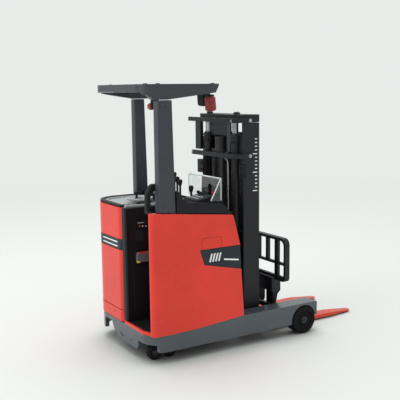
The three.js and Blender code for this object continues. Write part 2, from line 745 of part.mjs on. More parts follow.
function fork(side) {
  const profile = [
    [FORK_BACK, 0.5, 0.3],
    [FORK_TIP, 0.6, 0.1],
    [FORK_TIP, 1],
    [84, 1.9],
    [57, 1.9, 0.8],
    [57, 10],
    [57.5, 12],
    [57.8, 13.4],
    [59.1, 14.6],
    [59.1, 18.4],
    [57.6, 18.9],
    [FORK_BACK, 18.9],
  ];
  const y = side * FORK_Y;
  const plan = [
    [50, y - FORK_HALF],
    [84, y - FORK_HALF, 6],
    [FORK_TIP, y - 1.1, 0.9],
    [FORK_TIP, y + 1.1, 0.9],
    [84, y + FORK_HALF, 6],
    [50, y + FORK_HALF],
  ];
  return fromSide(profile, [y - FORK_HALF, y + FORK_HALF]).intersect(fromAbove(plan, [0, 30], 3));
}

// ---- wheels ----
function loadWheel(side) {
  const { radius, inner, outer, bore } = LOAD_WHEEL;
  const width = outer - inner;
  const face = side > 0 ? (d) => width - d : (d) => d;
  const profile = [
    [bore, face(width)],
    [radius, face(width)],
    [radius, face(0.4)],
    [radius - 0.4, face(0)],
    [3.7, face(0)],
    [3.4, face(0.6)],
    [1.9, face(0.6)],
    [1.7, face(0.1)],
    [bore, face(0.1)],
    [bore, face(width)],
  ];
  const [y0] = span(side, inner, outer);
  return sideways(side > 0 ? profile : profile.reverse(), [LOAD_WHEEL.x, y0, radius], 48);
}

function driveWheel() {
  const { x, y, radius, width, bore } = DRIVE_WHEEL;
  const tread = [
    [bore, 0],
    [radius - 0.5, 0],
    [radius, 0.5],
    [radius, width - 0.5],
    [radius - 0.5, width],
    [bore, width],
    [bore, 0],
  ];
  return sideways(tread, [x, y - width / 2, radius], 28);
}

// Steered yoke: gear case beside the wheel, turntable above it and the drive motor on top.
function driveYoke() {
  const { x, y, radius, width, bore } = DRIVE_WHEEL;
  const cheek = (side) => {
    const near = width / 2 + 0.3;
    const plane = span(side, near, near + 1).map((value) => value + y);
    const plate = [
      [x - 1.6, radius - 1.6, 1.2],
      [x + 1.6, radius - 1.6, 1.2],
      [x + 2.2, 11.8],
      [x - 2.2, 11.8],
    ];
    return fromSide(plate, plane);
  };
  const bridgeSpan = [y - width / 2 - 1.3, y + width / 2 + 1.3];
  const bridge = block([x - 2.2, x + 2.2], bridgeSpan, [radius * 2 + GAP, 12.6]);
  const axle = pin([x, radius], bore - 0.15, [y - width / 2 - 0.8, y + width / 2 + 0.8], 12);
  const turntable = post([x, y], 5.6, [12.2, 13.6], 24);
  const motor = post([x, y], 4.4, [13.4, 26], 20);
  return joined(cheek(1), cheek(-1), bridge, axle, turntable, motor);
}

// Twin-wheel caster: a bogie on a short swivel stem.
function casterYoke() {
  const { x, y, reach, radius, width, bore } = CASTER;
  const beam = fromSide(
    [
      [x - reach - 1, radius - 0.9, 0.8],
      [x + reach + 1, radius - 0.9, 0.8],
      [x + reach + 0.6, radius + 1],
      [x + 1.6, 6.8],
      [x - 1.6, 6.8],
      [x - reach - 0.6, radius + 1],
    ],
    [y + width / 2 + 0.3, y + width / 2 + 1.3],
  );
  const crown = block([x - 1.6, x + 1.6], [y - 1.4, y + width / 2 + 1.3], [6.3, 7.2]);
  const stem = post([x, y], 1.3, [7, 8.2], 14);
  const pins = [-reach, reach].map((offset) => (
    pin([x + offset, radius], bore - 0.15, [y - width / 2, y + width / 2 + 0.8], 10)
  ));
  return joined(beam, crown, stem, ...pins);
}

function casterWheel(end) {
  const { x, y, reach, radius, width, bore } = CASTER;
  const tread = [
    [bore, 0],
    [radius - 0.4, 0],
    [radius, 0.4],
    [radius, width - 0.4],
    [radius - 0.4, width],
    [bore, width],
    [bore, 0],
  ];
  return sideways(tread, [x + end * reach, y - width / 2, radius], 20);
}

// ---- assembly ----
const chassis = group(truck);
piece(chassis, 'base_frame', GREY, baseFrame());
piece(chassis, 'side_panel_right', RED, sidePanelRight());
piece(chassis, 'side_panel_left', RED, sidePanelLeft());
piece(chassis, 'rear_cover_upper', RED, rearCoverUpper());
piece(chassis, 'rear_cover_lower', RED, hoodWall(0, 1.4, [SKIRT_TOP + 2 * SEAM, HOOD_SEAM - SEAM]));
piece(chassis, 'rear_band', BADGE_GREY, rearBand());
SIDES.forEach(([side, label]) => piece(chassis, `badge_${label}`, BADGE_GREY, badge(side)));
piece(chassis, 'top_tray', TRAY_GREY, topTray());
piece(chassis, 'tray_rim', PLASTIC_BLACK, trayRim());
piece(chassis, 'compartment_liner', PLASTIC_BLACK, compartmentLiner());
piece(chassis, 'floor_mat', PLASTIC_BLACK, floorMat());
piece(chassis, 'battery_block', MAST_BLACK, block([19.4, 34], [-19.6, 19.8], [11.6, 45.4]));
piece(chassis, 'console', PLASTIC_BLACK, consoleShell());
piece(chassis, 'grab_handle', TRAY_GREY, fromSide(
  [[4, 30.9], [8.4, 30.9], [8.4, 34.3], [4, 34.3, 0.6]],
  [CAB_LEFT - 1.3, CAB_LEFT - SEAM],
));
piece(chassis, 'hip_rail', PLASTIC_BLACK, hipRail());
piece(chassis, 'wind_shield', CLEAR, windShield());

piece(chassis, 'pillar_right', GUARD_GREY, pillar(-1, 4.25, 9.4, [49.8, 49.25]));
piece(chassis, 'pillar_left', GUARD_GREY, pillar(1, 16.35, 20.4, [48.6, 48.1]));
piece(chassis, 'roof_guard', GUARD_GREY, roofGuard());
piece(chassis, 'beacon_base', PLASTIC_BLACK, beaconBase());
piece(chassis, 'beacon_lens', LENS_RED, beaconLens());
piece(chassis, 'work_lamp_body', PLASTIC_BLACK, workLampBody());
piece(chassis, 'work_lamp_lens', LENS_RED, workLampLens());

const controls = group(chassis);
piece(controls, 'steering_wheel', TRAY_GREY, steeringWheel());
piece(controls, 'steering_knob', PLASTIC_BLACK, steeringKnob());
LEVERS.forEach(({ name, x, y, height, grip }) => {
  piece(controls, name, PLASTIC_BLACK, upright(lever(height, grip), [x, y, LEVER_ROOT], 10));
});

const wheels = group(chassis);
SIDES.forEach(([side, label]) => piece(wheels, `load_wheel_${label}`, TYRE, loadWheel(side)));
piece(wheels, 'drive_yoke', MAST_BLACK, driveYoke());
piece(wheels, 'drive_wheel', TYRE, driveWheel());
piece(wheels, 'caster_yoke', MAST_BLACK, casterYoke());
piece(wheels, 'caster_wheel_rear', TYRE, casterWheel(-1));
piece(wheels, 'caster_wheel_front', TYRE, casterWheel(1));

const mast = group(truck);
piece(mast, 'reach_carriage', MAST_BLACK, reachCarriage());
SIDES.forEach(([side, label]) => {
  piece(mast, `reach_roller_${label}_rear`, CHROME, reachRoller(side, ROLLER.rear));
  piece(mast, `reach_roller_${label}_front`, CHROME, reachRoller(side, ROLLER.front));
  piece(mast, `outer_rail_${label}`, MAST_BLACK, outerRail(side));
  piece(mast, `lift_cylinder_${label}`, MAST_BLACK, liftCylinder(side));
});
piece(mast, 'mast_foot', MAST_BLACK, mastFoot());
piece(mast, 'hoist_column', MAST_BLACK, hoistColumn());
piece(mast, 'hose_guard_upper', MAST_BLACK, hoseGuardUpper());
piece(mast, 'hose_guard_lower', MAST_BLACK, hoseGuardLower());

const innerMast = group(mast);
SIDES.forEach(([side, label]) => {
  piece(innerMast, `inner_rail_${label}`, MAST_BLACK, innerRail(side));
  piece(innerMast, `lift_rod_${label}`, CHROME, liftRod(side));
});
piece(innerMast, 'top_beam', MAST_BLACK, topBeam());
piece(innerMast, 'inner_cross_plate', MAST_BLACK, innerCrossPlate());

const forks = group(innerMast);
piece(forks, 'fork_carriage', MAST_BLACK, forkCarriage());
piece(forks, 'load_backrest', MAST_BLACK, loadBackrest());
SIDES.forEach(([side, label]) => piece(forks, `fork_${label}`, FORK_RED, fork(side)));

export default truck;
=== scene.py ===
import json
import math

import bmesh
import bpy
from mathutils import Matrix, Vector


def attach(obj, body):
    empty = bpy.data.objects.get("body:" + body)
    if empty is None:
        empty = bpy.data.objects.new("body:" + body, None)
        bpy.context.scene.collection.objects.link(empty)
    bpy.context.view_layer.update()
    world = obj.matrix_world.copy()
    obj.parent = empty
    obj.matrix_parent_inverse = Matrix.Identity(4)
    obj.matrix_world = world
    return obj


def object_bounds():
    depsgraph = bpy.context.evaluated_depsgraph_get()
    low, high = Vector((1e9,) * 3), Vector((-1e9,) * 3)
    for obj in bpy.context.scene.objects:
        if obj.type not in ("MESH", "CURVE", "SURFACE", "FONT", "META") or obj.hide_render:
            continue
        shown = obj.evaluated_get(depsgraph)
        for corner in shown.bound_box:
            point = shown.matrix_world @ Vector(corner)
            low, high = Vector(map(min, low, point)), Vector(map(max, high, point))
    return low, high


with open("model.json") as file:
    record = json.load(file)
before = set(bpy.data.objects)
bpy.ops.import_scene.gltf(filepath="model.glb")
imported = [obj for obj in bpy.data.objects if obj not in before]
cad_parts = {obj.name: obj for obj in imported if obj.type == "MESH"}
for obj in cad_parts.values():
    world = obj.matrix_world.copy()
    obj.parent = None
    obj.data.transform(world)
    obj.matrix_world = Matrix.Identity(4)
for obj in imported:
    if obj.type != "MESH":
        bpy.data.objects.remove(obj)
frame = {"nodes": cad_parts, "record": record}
cad_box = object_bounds()

MM = 0.001
# Stations are millimetres ahead of the body's rear face, which is half a millimetre ahead of the
# lowest corner of the whole box.
REAR_FACE = cad_box[0].x + 0.5 * MM


def at(x, y, z):
    """A point in the frame, from millimetres: station, left of the middle, above the ground."""
    return Vector((REAR_FACE + x * MM, y * MM, z * MM))


# ---------------------------------------------------------------- materials

def new_material(name):
    """A material with one Principled shader, and the coordinates that its patterns use."""
    material = bpy.data.materials.new(name)
    material.use_nodes = True
    tree = material.node_tree
    tree.nodes.clear()
    out = tree.nodes.new("ShaderNodeOutputMaterial")
    shader = tree.nodes.new("ShaderNodeBsdfPrincipled")
    tree.links.new(shader.outputs["BSDF"], out.inputs["Surface"])
    coords = tree.nodes.new("ShaderNodeTexCoord")
    return material, tree, shader, coords.outputs["Object"]


def noise(tree, coords, size, detail=3.0, rough=0.5, stretch=None):
    """Noise whose features are about `size` millimetres across."""
    source = coords
    if stretch is not None:
        mapping = tree.nodes.new("ShaderNodeMapping")
        mapping.inputs["Scale"].default_value = stretch
        tree.links.new(coords, mapping.inputs["Vector"])
        source = mapping.outputs["Vector"]
    node = tree.nodes.new("ShaderNodeTexNoise")
    node.inputs["Scale"].default_value = 1 / (size * MM)
    node.inputs["Detail"].default_value = detail
    node.inputs["Roughness"].default_value = rough
    tree.links.new(source, node.inputs["Vector"])
    return node.outputs["Fac"]


def spread(tree, value, low, high, start=0.0, end=1.0):
    """Low where the value is at start, high where it is at end, and held beyond them."""
    node = tree.nodes.new("ShaderNodeMapRange")
    node.inputs["From Min"].default_value = start
    node.inputs["From Max"].default_value = end
    node.inputs["To Min"].default_value = low
    node.inputs["To Max"].default_value = high
    tree.links.new(value, node.inputs["Value"])
    return node.outputs["Result"]


def maths(tree, operation, a, b):
    """One sum on two numbers or sockets."""
    node = tree.nodes.new("ShaderNodeMath")
    node.operation = operation
    for socket, value in zip(node.inputs, (a, b)):
        if isinstance(value, (int, float)):
            socket.default_value = value
        else:
            tree.links.new(value, socket)
    return node.outputs["Value"]


def mixed(tree, factor, a, b):
    """Colour a where the factor is 0 and colour b where it is 1."""
    node = tree.nodes.new("ShaderNodeMix")
    node.data_type = "RGBA"
    for name, value in (("Factor", factor), ("A", a), ("B", b)):
        socket = node.inputs[name]
        if isinstance(value, (int, float)):
            socket.default_value = value
        elif isinstance(value, tuple):
            socket.default_value = (*value, 1)
        else:
            tree.links.new(value, socket)
    return node.outputs["Result"]


def bumped(tree, shader, layers):
    """Stacks (height, strength, depth in millimetres) layers on the shader's normal."""
    normal = None
    for height, strength, depth in layers:
        node = tree.nodes.new("ShaderNodeBump")
        node.inputs["Strength"].default_value = strength
        node.inputs["Distance"].default_value = depth * MM
        tree.links.new(height, node.inputs["Height"])
        if normal is not None:
            tree.links.new(normal, node.inputs["Normal"])
        normal = node.outputs["Normal"]
    tree.links.new(normal, shader.inputs["Normal"])


def edge_mask(tree, radius):
    """1 on edges, from how far a bevelled normal leans from the surface's own."""
    leaning, square = 0.86, 0.99
    bevel = tree.nodes.new("ShaderNodeBevel")
    bevel.samples = 4
    bevel.inputs["Radius"].default_value = radius * MM
    geometry = tree.nodes.new("ShaderNodeNewGeometry")
    dot = tree.nodes.new("ShaderNodeVectorMath")
    dot.operation = "DOT_PRODUCT"
    tree.links.new(bevel.outputs["Normal"], dot.inputs[0])
    tree.links.new(geometry.outputs["Normal"], dot.inputs[1])
    return spread(tree, dot.outputs["Value"], 1.0, 0.0, leaning, square)


def tinted(color, factor):
    """A colour made darker or lighter."""
    return tuple(min(1.0, c * factor) for c in color)


DUST = (0.62, 0.6, 0.58)
# Colour of the tyres' lighter edges: partly dust, partly a painted highlight.
TYRE_EDGE_DUST_AND_HIGHLIGHT = (0.03, 0.029, 0.028)


def enamel(name, color, rough, edge, coat=0.12, shine=0.32, upper=None):
    """Sprayed enamel over a casting: faint mottling, orange peel, dust, and lighter edges,
    partly paint thinned by wear and partly a painted highlight.

    `upper` is a height in millimetres and the colour of everything above it.
    """
    material, tree, shader, coords = new_material(name)
    broad = noise(tree, coords, 14, 3.0)
    fine = noise(tree, coords, 1.1, 5.0, 0.62)
    mottle = spread(tree, broad, 0.0, 1.0, 0.35, 0.65)
    body = mixed(tree, mottle, tinted(color, 0.93), tinted(color, 1.07))
    body = mixed(tree, spread(tree, fine, 0.0, 0.2, 0.45, 0.75), body, tinted(color, 0.8))
    # Lighter edges: partly paint thinned by wear, partly a painted highlight.
    edge_patches = spread(tree, noise(tree, coords, 0.8, 4.0), 0.15, 0.8, 0.4, 0.62)
    wear_and_highlight = maths(tree, "MULTIPLY", edge_mask(tree, 0.22), edge_patches)
    body = mixed(tree, wear_and_highlight, body, edge)
    dust = noise(tree, coords, 0.35, 1.0)
    body = mixed(tree, spread(tree, dust, 0.0, 0.35, 0.74, 0.8), body, DUST)
    if upper is not None:
        level, above_color = upper
        height = tree.nodes.new("ShaderNodeSeparateXYZ")
        tree.links.new(coords, height.inputs[0])
        above = spread(tree, height.outputs["Z"], 0.0, 1.0, (level - 0.1) * MM, (level + 0.1) * MM)
        body = mixed(tree, above, body, above_color)
    tree.links.new(body, shader.inputs["Base Color"])
    gloss = spread(tree, fine, rough - 0.06, rough + 0.1, 0.35, 0.7)
    tree.links.new(gloss, shader.inputs["Roughness"])
    shader.inputs["Coat Weight"].default_value = coat
    shader.inputs["Coat Roughness"].default_value = 0.16
    shader.inputs["Specular IOR Level"].default_value = shine
    bumped(tree, shader, [
        (noise(tree, coords, 0.55, 2.0), 0.35, 0.05),
        (noise(tree, coords, 5.0, 2.0), 0.25, 0.12),
    ])
    return material


def moulded(name, color, rough, grain, depth, shine=0.22):
    """Moulded plastic: fine spark-eroded grain, slight flow marks, edges part scuffed, part painted
    highlight.
    """
    material, tree, shader, coords = new_material(name)
    flow = noise(tree, coords, 9, 3.0, stretch=(1.0, 1.0, 0.35))
    speck = noise(tree, coords, grain, 4.0, 0.6)
    streaks = spread(tree, flow, 0.0, 1.0, 0.35, 0.65)
    body = mixed(tree, streaks, tinted(color, 0.88), tinted(color, 1.14))
    body = mixed(tree, spread(tree, speck, 0.0, 0.3, 0.5, 0.75), body, tinted(color, 1.5))
    # Lighter edges: partly scuffed by handling, partly a painted highlight.
    rubbed_and_highlit = maths(tree, "MULTIPLY", edge_mask(tree, 0.18), 0.4)
    body = mixed(tree, rubbed_and_highlit, body, tinted(color, 2.2))
    tree.links.new(body, shader.inputs["Base Color"])
    gloss = spread(tree, speck, rough - 0.08, rough + 0.1, 0.35, 0.7)
    tree.links.new(gloss, shader.inputs["Roughness"])
    shader.inputs["Specular IOR Level"].default_value = shine
    bumped(tree, shader, [(speck, 0.5, depth), (flow, 0.2, 0.1)])
    return material


def rubber(name, color):
    """Tyre rubber: dull, finely pitted, greyed with dust on the tread."""
    material, tree, shader, coords = new_material(name)
    pits = noise(tree, coords, 0.4, 4.0, 0.65)
    patches = noise(tree, coords, 3.0, 4.0, 0.6)
    body = mixed(tree, spread(tree, patches, 0.0, 1.0, 0.4, 0.68), color, tinted(color, 1.7))
    body = mixed(tree, spread(tree, pits, 0.0, 0.35, 0.55, 0.75), body, tinted(color, 0.5))
    # Lighter edges: partly dust and wear, partly a painted highlight.
    rubbed_and_highlit = maths(tree, "MULTIPLY", edge_mask(tree, 0.25), 0.5)
    body = mixed(tree, rubbed_and_highlit, body, TYRE_EDGE_DUST_AND_HIGHLIGHT)
    tree.links.new(body, shader.inputs["Base Color"])
    tree.links.new(spread(tree, patches, 0.62, 0.86, 0.3, 0.7), shader.inputs["Roughness"])
    shader.inputs["Specular IOR Level"].default_value = 0.12
    bumped(tree, shader, [(pits, 0.5, 0.05), (patches, 0.25, 0.1)])
    return material


def metal(name, color, rough, brushed):
    """Plated or machined metal with fine lines along one axis."""
    material, tree, shader, coords = new_material(name)
    lines = noise(tree, coords, 0.5, 4.0, 0.6, stretch=brushed)
    stain = noise(tree, coords, 3.5, 3.0)
    body = mixed(tree, spread(tree, stain, 0.0, 1.0, 0.35, 0.7), color, tinted(color, 0.8))
    tree.links.new(body, shader.inputs["Base Color"])
    shader.inputs["Metallic"].default_value = 1.0
    gloss = spread(tree, lines, rough - 0.05, rough + 0.12, 0.3, 0.7)
    tree.links.new(gloss, shader.inputs["Roughness"])
    bumped(tree, shader, [(lines, 0.25, 0.02)])
    return material


def clear_plastic(name, color):
    """Clear styrene: thin, glossy, with faint flow lines and patches of haze."""
    material, tree, shader, coords = new_material(name)
    haze = noise(tree, coords, 2.2, 4.0, 0.6)
    tree.links.new(mixed(tree, haze, color, tinted(color, 0.96)), shader.inputs["Base Color"])
    tree.links.new(spread(tree, haze, 0.02, 0.1, 0.4, 0.8), shader.inputs["Roughness"])
    shader.inputs["IOR"].default_value = 1.49
    shader.inputs["Transmission Weight"].default_value = 1.0
    bumped(tree, shader, [(noise(tree, coords, 6.0, 2.0), 0.12, 0.08)])
    return material


def tinted_lens(name, color):
    """Translucent red lens with moulded prisms inside it."""
    material, tree, shader, coords = new_material(name)
    cells = tree.nodes.new("ShaderNodeTexVoronoi")
    cells.inputs["Scale"].default_value = 1 / (0.7 * MM)
    tree.links.new(coords, cells.inputs["Vector"])
    grooves = spread(tree, cells.outputs["Distance"], 0.0, 0.8, 0.1, 0.7)
    body = mixed(tree, grooves, color, tinted(color, 0.35))
    tree.links.new(body, shader.inputs["Base Color"])
    shader.inputs["Transmission Weight"].default_value = 0.1
    shader.inputs["Roughness"].default_value = 0.2
    shader.inputs["Coat Weight"].default_value = 0.3
    shader.inputs["Coat Roughness"].default_value = 0.04
    bumped(tree, shader, [(cells.outputs["Distance"], 0.5, 0.12)])
    return material


# Each enamel's fourth colour is its lighter edge colour: partly wear, partly a painted highlight.
RED = enamel("red_paint", (0.72, 0.034, 0.018), 0.34, (0.84, 0.15, 0.09), coat=0.15)
# The forks are red along their blades and black up their shanks.
FORK_RED = enamel("fork_paint", (0.68, 0.05, 0.014), 0.36, (0.7, 0.24, 0.14),
                  upper=(2.4, (0.014, 0.0135, 0.017)))
GREY = enamel("grey_paint", (0.06, 0.075, 0.09), 0.36, (0.2, 0.22, 0.24), coat=0.5)
GUARD = enamel("guard_paint", (0.036, 0.042, 0.052), 0.4, (0.14, 0.15, 0.16))
BLACK_PAINT = enamel("mast_paint", (0.012, 0.0115, 0.015), 0.42, (0.07, 0.07, 0.075),
                     coat=0.05, shine=0.28)
BLACK = moulded("black_plastic", (0.0095, 0.009, 0.0115), 0.5, 0.35, 0.04)
BADGE = moulded("badge_plastic", (0.018, 0.026, 0.033), 0.4, 0.5, 0.02)
TRAY = moulded("tray_plastic", (0.46, 0.49, 0.49), 0.4, 0.5, 0.03)
HANDLE = moulded("handle_grey", (0.15, 0.145, 0.155), 0.4, 0.5, 0.03)
RUBBER = rubber("tyre", (0.0065, 0.0064, 0.0068))
CHROME = metal("chrome", (0.34, 0.345, 0.35), 0.16, (1.0, 1.0, 0.08))
# Mast paint made lighter: a painted highlight for the light on the hoist column's face.
LIT_COLUMN = enamel("column_paint_lit", (0.026, 0.025, 0.028), 0.5, (0.1, 0.1, 0.1),
                coat=0.0, shine=0.3)
CHAIN = moulded("chain_black", (0.005, 0.005, 0.006), 0.5, 0.4, 0.03, shine=0.2)
STEEL = metal("zinc_plate", (0.5, 0.5, 0.51), 0.3, (1.0, 1.0, 1.0))
CLEAR = clear_plastic("clear", (0.97, 0.985, 0.985))
# Pale colour of the shield's rim: a painted highlight for the bright edges of the clear plastic.
PALE_RIM_HIGHLIGHT = moulded("painted_rim_highlight", (0.78, 0.81, 0.82), 0.3, 0.6, 0.01, shine=0.5)
LENS = tinted_lens("red_lens", (0.4, 0.005, 0.006))
WHITE = moulded("white_print", (0.8, 0.81, 0.82), 0.4, 0.4, 0.01)
RED_PRINT = moulded("red_print", (0.7, 0.05, 0.04), 0.4, 0.4, 0.01)
YELLOW = moulded("yellow_print", (0.75, 0.55, 0.05), 0.4, 0.4, 0.01)

SLOT_MATERIALS = {
    "red_paint": RED, "fork_paint": FORK_RED, "grey_paint": GREY, "guard_paint": GUARD,
    "mast_paint": BLACK_PAINT, "black_plastic": BLACK, "badge_plastic": BADGE, "tray_plastic": TRAY,
    "tyre": RUBBER, "chrome": CHROME, "clear": CLEAR, "red_lens": LENS,
}


# ---------------------------------------------------------------- mesh helpers

BEVEL_SEGMENTS = 2
CAD_EDGE_ANGLE = math.radians(32)
FACET_ANGLE = math.radians(0.6)
# A box's faces by its corners, numbered with the last axis running fastest.
BOX_FACES = ((0, 1, 3, 2), (4, 6, 7, 5), (0, 4, 5, 1), (2, 3, 7, 6), (0, 2, 6, 4), (1, 5, 7, 3))


def finished(obj, bevel):
    """Softens a CAD node's edges: merged facets, a bevel, and normals weighted by face."""
    if "custom_normal" in obj.data.attributes:
        obj.data.attributes.remove(obj.data.attributes["custom_normal"])
    for polygon in obj.data.polygons:
        polygon.use_smooth = True
    weld = obj.modifiers.new("weld", "WELD")
    weld.merge_threshold = 1e-6
    flat = obj.modifiers.new("merge_flat", "DECIMATE")
    flat.decimate_type = "DISSOLVE"
    flat.angle_limit = FACET_ANGLE
    edge = obj.modifiers.new("edges", "BEVEL")
    edge.width = bevel * MM
    edge.segments = BEVEL_SEGMENTS
    edge.limit_method = "ANGLE"
    edge.angle_limit = CAD_EDGE_ANGLE
    edge.use_clamp_overlap = True
    edge.miter_outer = "MITER_ARC"
    normals = obj.modifiers.new("normals", "WEIGHTED_NORMAL")
    normals.keep_sharp = True
    normals.weight = 60


def add(name, body, material, build, bevel=0.0, smooth=38):
    """A piece that build(bm) draws; edges sharper than `smooth` degrees stay sharp."""
    bm = bmesh.new()
    build(bm)
    mesh = bpy.data.meshes.new(name)
    bmesh.ops.remove_doubles(bm, verts=bm.verts, dist=1e-7)
    bmesh.ops.recalc_face_normals(bm, faces=bm.faces)
    bm.to_mesh(mesh)
    bm.free()
    obj = bpy.data.objects.new(name, mesh)
    bpy.context.scene.collection.objects.link(obj)
    mesh.materials.append(material)
    for polygon in mesh.polygons:
        polygon.use_smooth = True
    mesh.set_sharp_from_angle(angle=math.radians(smooth))
    if bevel > 0:
        edge = obj.modifiers.new("edges", "BEVEL")
        edge.width = bevel * MM
        edge.segments = BEVEL_SEGMENTS
        edge.limit_method = "ANGLE"
        edge.angle_limit = math.radians(smooth)
        normals = obj.modifiers.new("normals", "WEIGHTED_NORMAL")
        normals.keep_sharp = False
    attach(obj, body)


def six_sided(bm, corners):
    """Solid between eight corners, the last axis running fastest."""
    verts = [bm.verts.new(c) for c in corners]
    for face in BOX_FACES:
        bm.faces.new([verts[i] for i in face])


def block(bm, xs, ys, zs):
    six_sided(bm, [at(x, y, z) for x in xs for y in ys for z in zs])


def frame_of(direction):
    """Two unit vectors square to a direction, and the direction itself."""
    axis = Vector(direction).normalized()
    side = Vector((0, 0, 1)) if abs(axis.z) < 0.9 else Vector((1, 0, 0))
    u = axis.cross(side).normalized()
    return u, axis.cross(u).normalized(), axis


def lathe(bm, centre, direction, profile, sides):
    """Turned solid: profile of (radius, distance along the direction) in millimetres."""
    u, v, axis = frame_of(direction)
    rings = []
    for radius, along in profile:
        middle = centre + axis * along * MM
        if radius < 1e-6:
            rings.append([bm.verts.new(middle)])
            continue
        ring = []
        for i in range(sides):
            a = math.tau * i / sides
            ring.append(bm.verts.new(middle + (u * math.cos(a) + v * math.sin(a)) * radius * MM))
        rings.append(ring)
    for a, b in zip(rings, rings[1:]):
        for i in range(sides):
            j = (i + 1) % sides
            corners = [a[i % len(a)], a[j % len(a)], b[j % len(b)], b[i % len(b)]]
            unique = list(dict.fromkeys(corners))
            if len(unique) > 2:
                bm.faces.new(unique)
    for ring, flip in ((rings[0], True), (rings[-1], False)):
        if len(ring) > 2:
            bm.faces.new(ring[::-1] if flip else ring)


def hex_bolt(bm, centre, direction, radius, height):
    """Hexagonal head with a chamfered top, on a thin round washer."""
    washer = 0.09
    lathe(bm, centre, direction, [(radius * 1.3, 0), (radius * 1.3, washer)], 18)
    head = [(radius, washer), (radius, height * 0.85), (radius * 0.82, height), (0, height)]
    lathe(bm, centre, direction, head, 6)


def sweep(bm, points, radius, sides=10):
    """Round tube through points in the frame, closed at both ends."""
    last = len(points) - 1
    rings = []
    side = None
    for i, p in enumerate(points):
        ahead = (points[min(i + 1, last)] - points[max(i - 1, 0)]).normalized()
        if side is None:
            side = frame_of(ahead)[0]
        side = (side - ahead * side.dot(ahead)).normalized()
        up = ahead.cross(side)
        rings.append([bm.verts.new(p + (side * math.cos(a) + up * math.sin(a)) * radius * MM)
                      for a in (math.tau * k / sides for k in range(sides))])
    for a, b in zip(rings, rings[1:]):
        for i in range(sides):
            j = (i + 1) % sides
            bm.faces.new((a[i], a[j], b[j], b[i]))
    bm.faces.new(rings[0][::-1])
    bm.faces.new(rings[-1])


def curve_points(controls):
    """Catmull-Rom points through the controls."""
    steps = 8
    pts = [controls[0] * 2 - controls[1], *controls, controls[-1] * 2 - controls[-2]]
    found = []
    for a, b, c, d in zip(pts, pts[1:], pts[2:], pts[3:]):
        for k in range(steps):
            t = k / steps
            found.append(0.5 * ((2 * b) + (c - a) * t + (2 * a - 5 * b + 4 * c - d) * t * t
                                + (3 * b - a - 3 * c + d) * t ** 3))
    return [*found, controls[-1]]


def prism(bm, outline, low, high, place):
    """Straight-sided solid: outline of (a, b) pairs, place(a, b, depth) gives each point."""
    bottom = [bm.verts.new(place(a, b, low)) for a, b in outline]
    top = [bm.verts.new(place(a, b, high)) for a, b in outline]
    n = len(outline)
    for i in range(n):
        j = (i + 1) % n
        bm.faces.new((bottom[i], bottom[j], top[j], top[i]))
    bm.faces.new(bottom[::-1])
    bm.faces.new(top)


def side_view(a, b, depth):
    """Outline of stations and heights, drawn out from the middle to the left."""
    return at(a, depth, b)


def front_view(a, b, depth):
    """Outline of offsets and heights, drawn out forwards."""
    return at(depth, a, b)


def plan_view(a, b, depth):
    """Outline of stations and offsets, drawn out upwards."""
    return at(a, b, depth)


def rounded(points, segments=5):
    """Outline of (a, b) or (a, b, radius) corners with arcs put in."""
    found = []
    count = len(points)
    for i, point in enumerate(points):
        corner = Vector(point[:2])
        radius = point[2] if len(point) > 2 else 0
        if radius == 0:
            found.append(tuple(corner))
            continue
        back = (Vector(points[i - 1][:2]) - corner).normalized()
        ahead = (Vector(points[(i + 1) % count][:2]) - corner).normalized()
        half = math.acos(max(-1, min(1, back.dot(ahead)))) / 2
        run = radius / math.tan(half)
        centre = corner + (back + ahead).normalized() * radius / math.sin(half)
        a = corner + back * run - centre
        b = corner + ahead * run - centre
        start = math.atan2(a.y, a.x)
        turn = math.atan2(a.x * b.y - a.y * b.x, a.dot(b))
        for k in range(segments + 1):
            t = start + turn * k / segments
            found.append((centre.x + radius * math.cos(t), centre.y + radius * math.sin(t)))
    return found


def rounded_rect(a0, a1, b0, b1, radius, segments=4):
    corners = ((a0, b0), (a1, b0), (a1, b1), (a0, b1))
    return rounded([(a, b, radius) for a, b in corners], segments)


# ---------------------------------------------------------------- CAD nodes

# Width of the bevel on every edge, in millimetres, and the nodes that have a different one.
EDGE_WIDTH = 0.14
SOFT_EDGE = {
    "side_panel_right": 0.35, "side_panel_left": 0.35,
    "rear_cover_upper": 0.3, "rear_cover_lower": 0.3,
    "base_frame": 0.25, "console": 0.3, "hip_rail": 0.45, "wind_shield": 0.12,
    "roof_guard": 0.25, "pillar_right": 0.3, "pillar_left": 0.3, "beacon_lens": 0.2,
    "top_tray": 0.18, "steering_wheel": 0.12, "steering_knob": 0.1,
    "fork_left": 0.2, "fork_right": 0.2, "load_backrest": 0.22,
    "load_wheel_left": 0.2, "load_wheel_right": 0.2,
}
SLOT_OF = {subpart["node"]: subpart["material_slot"] for subpart in frame["record"]["subparts"]}

for node, obj in frame["nodes"].items():
    slot = SLOT_OF[node]
    obj.data.materials.clear()
    obj.data.materials.append(SLOT_MATERIALS[slot])
    finished(obj, SOFT_EDGE.get(node, EDGE_WIDTH))
# These two have a colour other than their slot's. The hoist column's is a lighter mast paint,
# a painted highlight for the light on its face; the grab handle's is its own.
frame["nodes"]["hoist_column"].data.materials[0] = LIT_COLUMN
frame["nodes"]["grab_handle"].data.materials[0] = HANDLE


# ---------------------------------------------------------------- mast details

SIDES = ((1, "left"), (-1, "right"))
MAST_REAR = 42.0
RAIL_FACE = 13.3
CYLINDER_X = 41.8
CYLINDER_Y = 8.7
BEAM_REAR = 41.2
BEAM_FRONT = 48.85


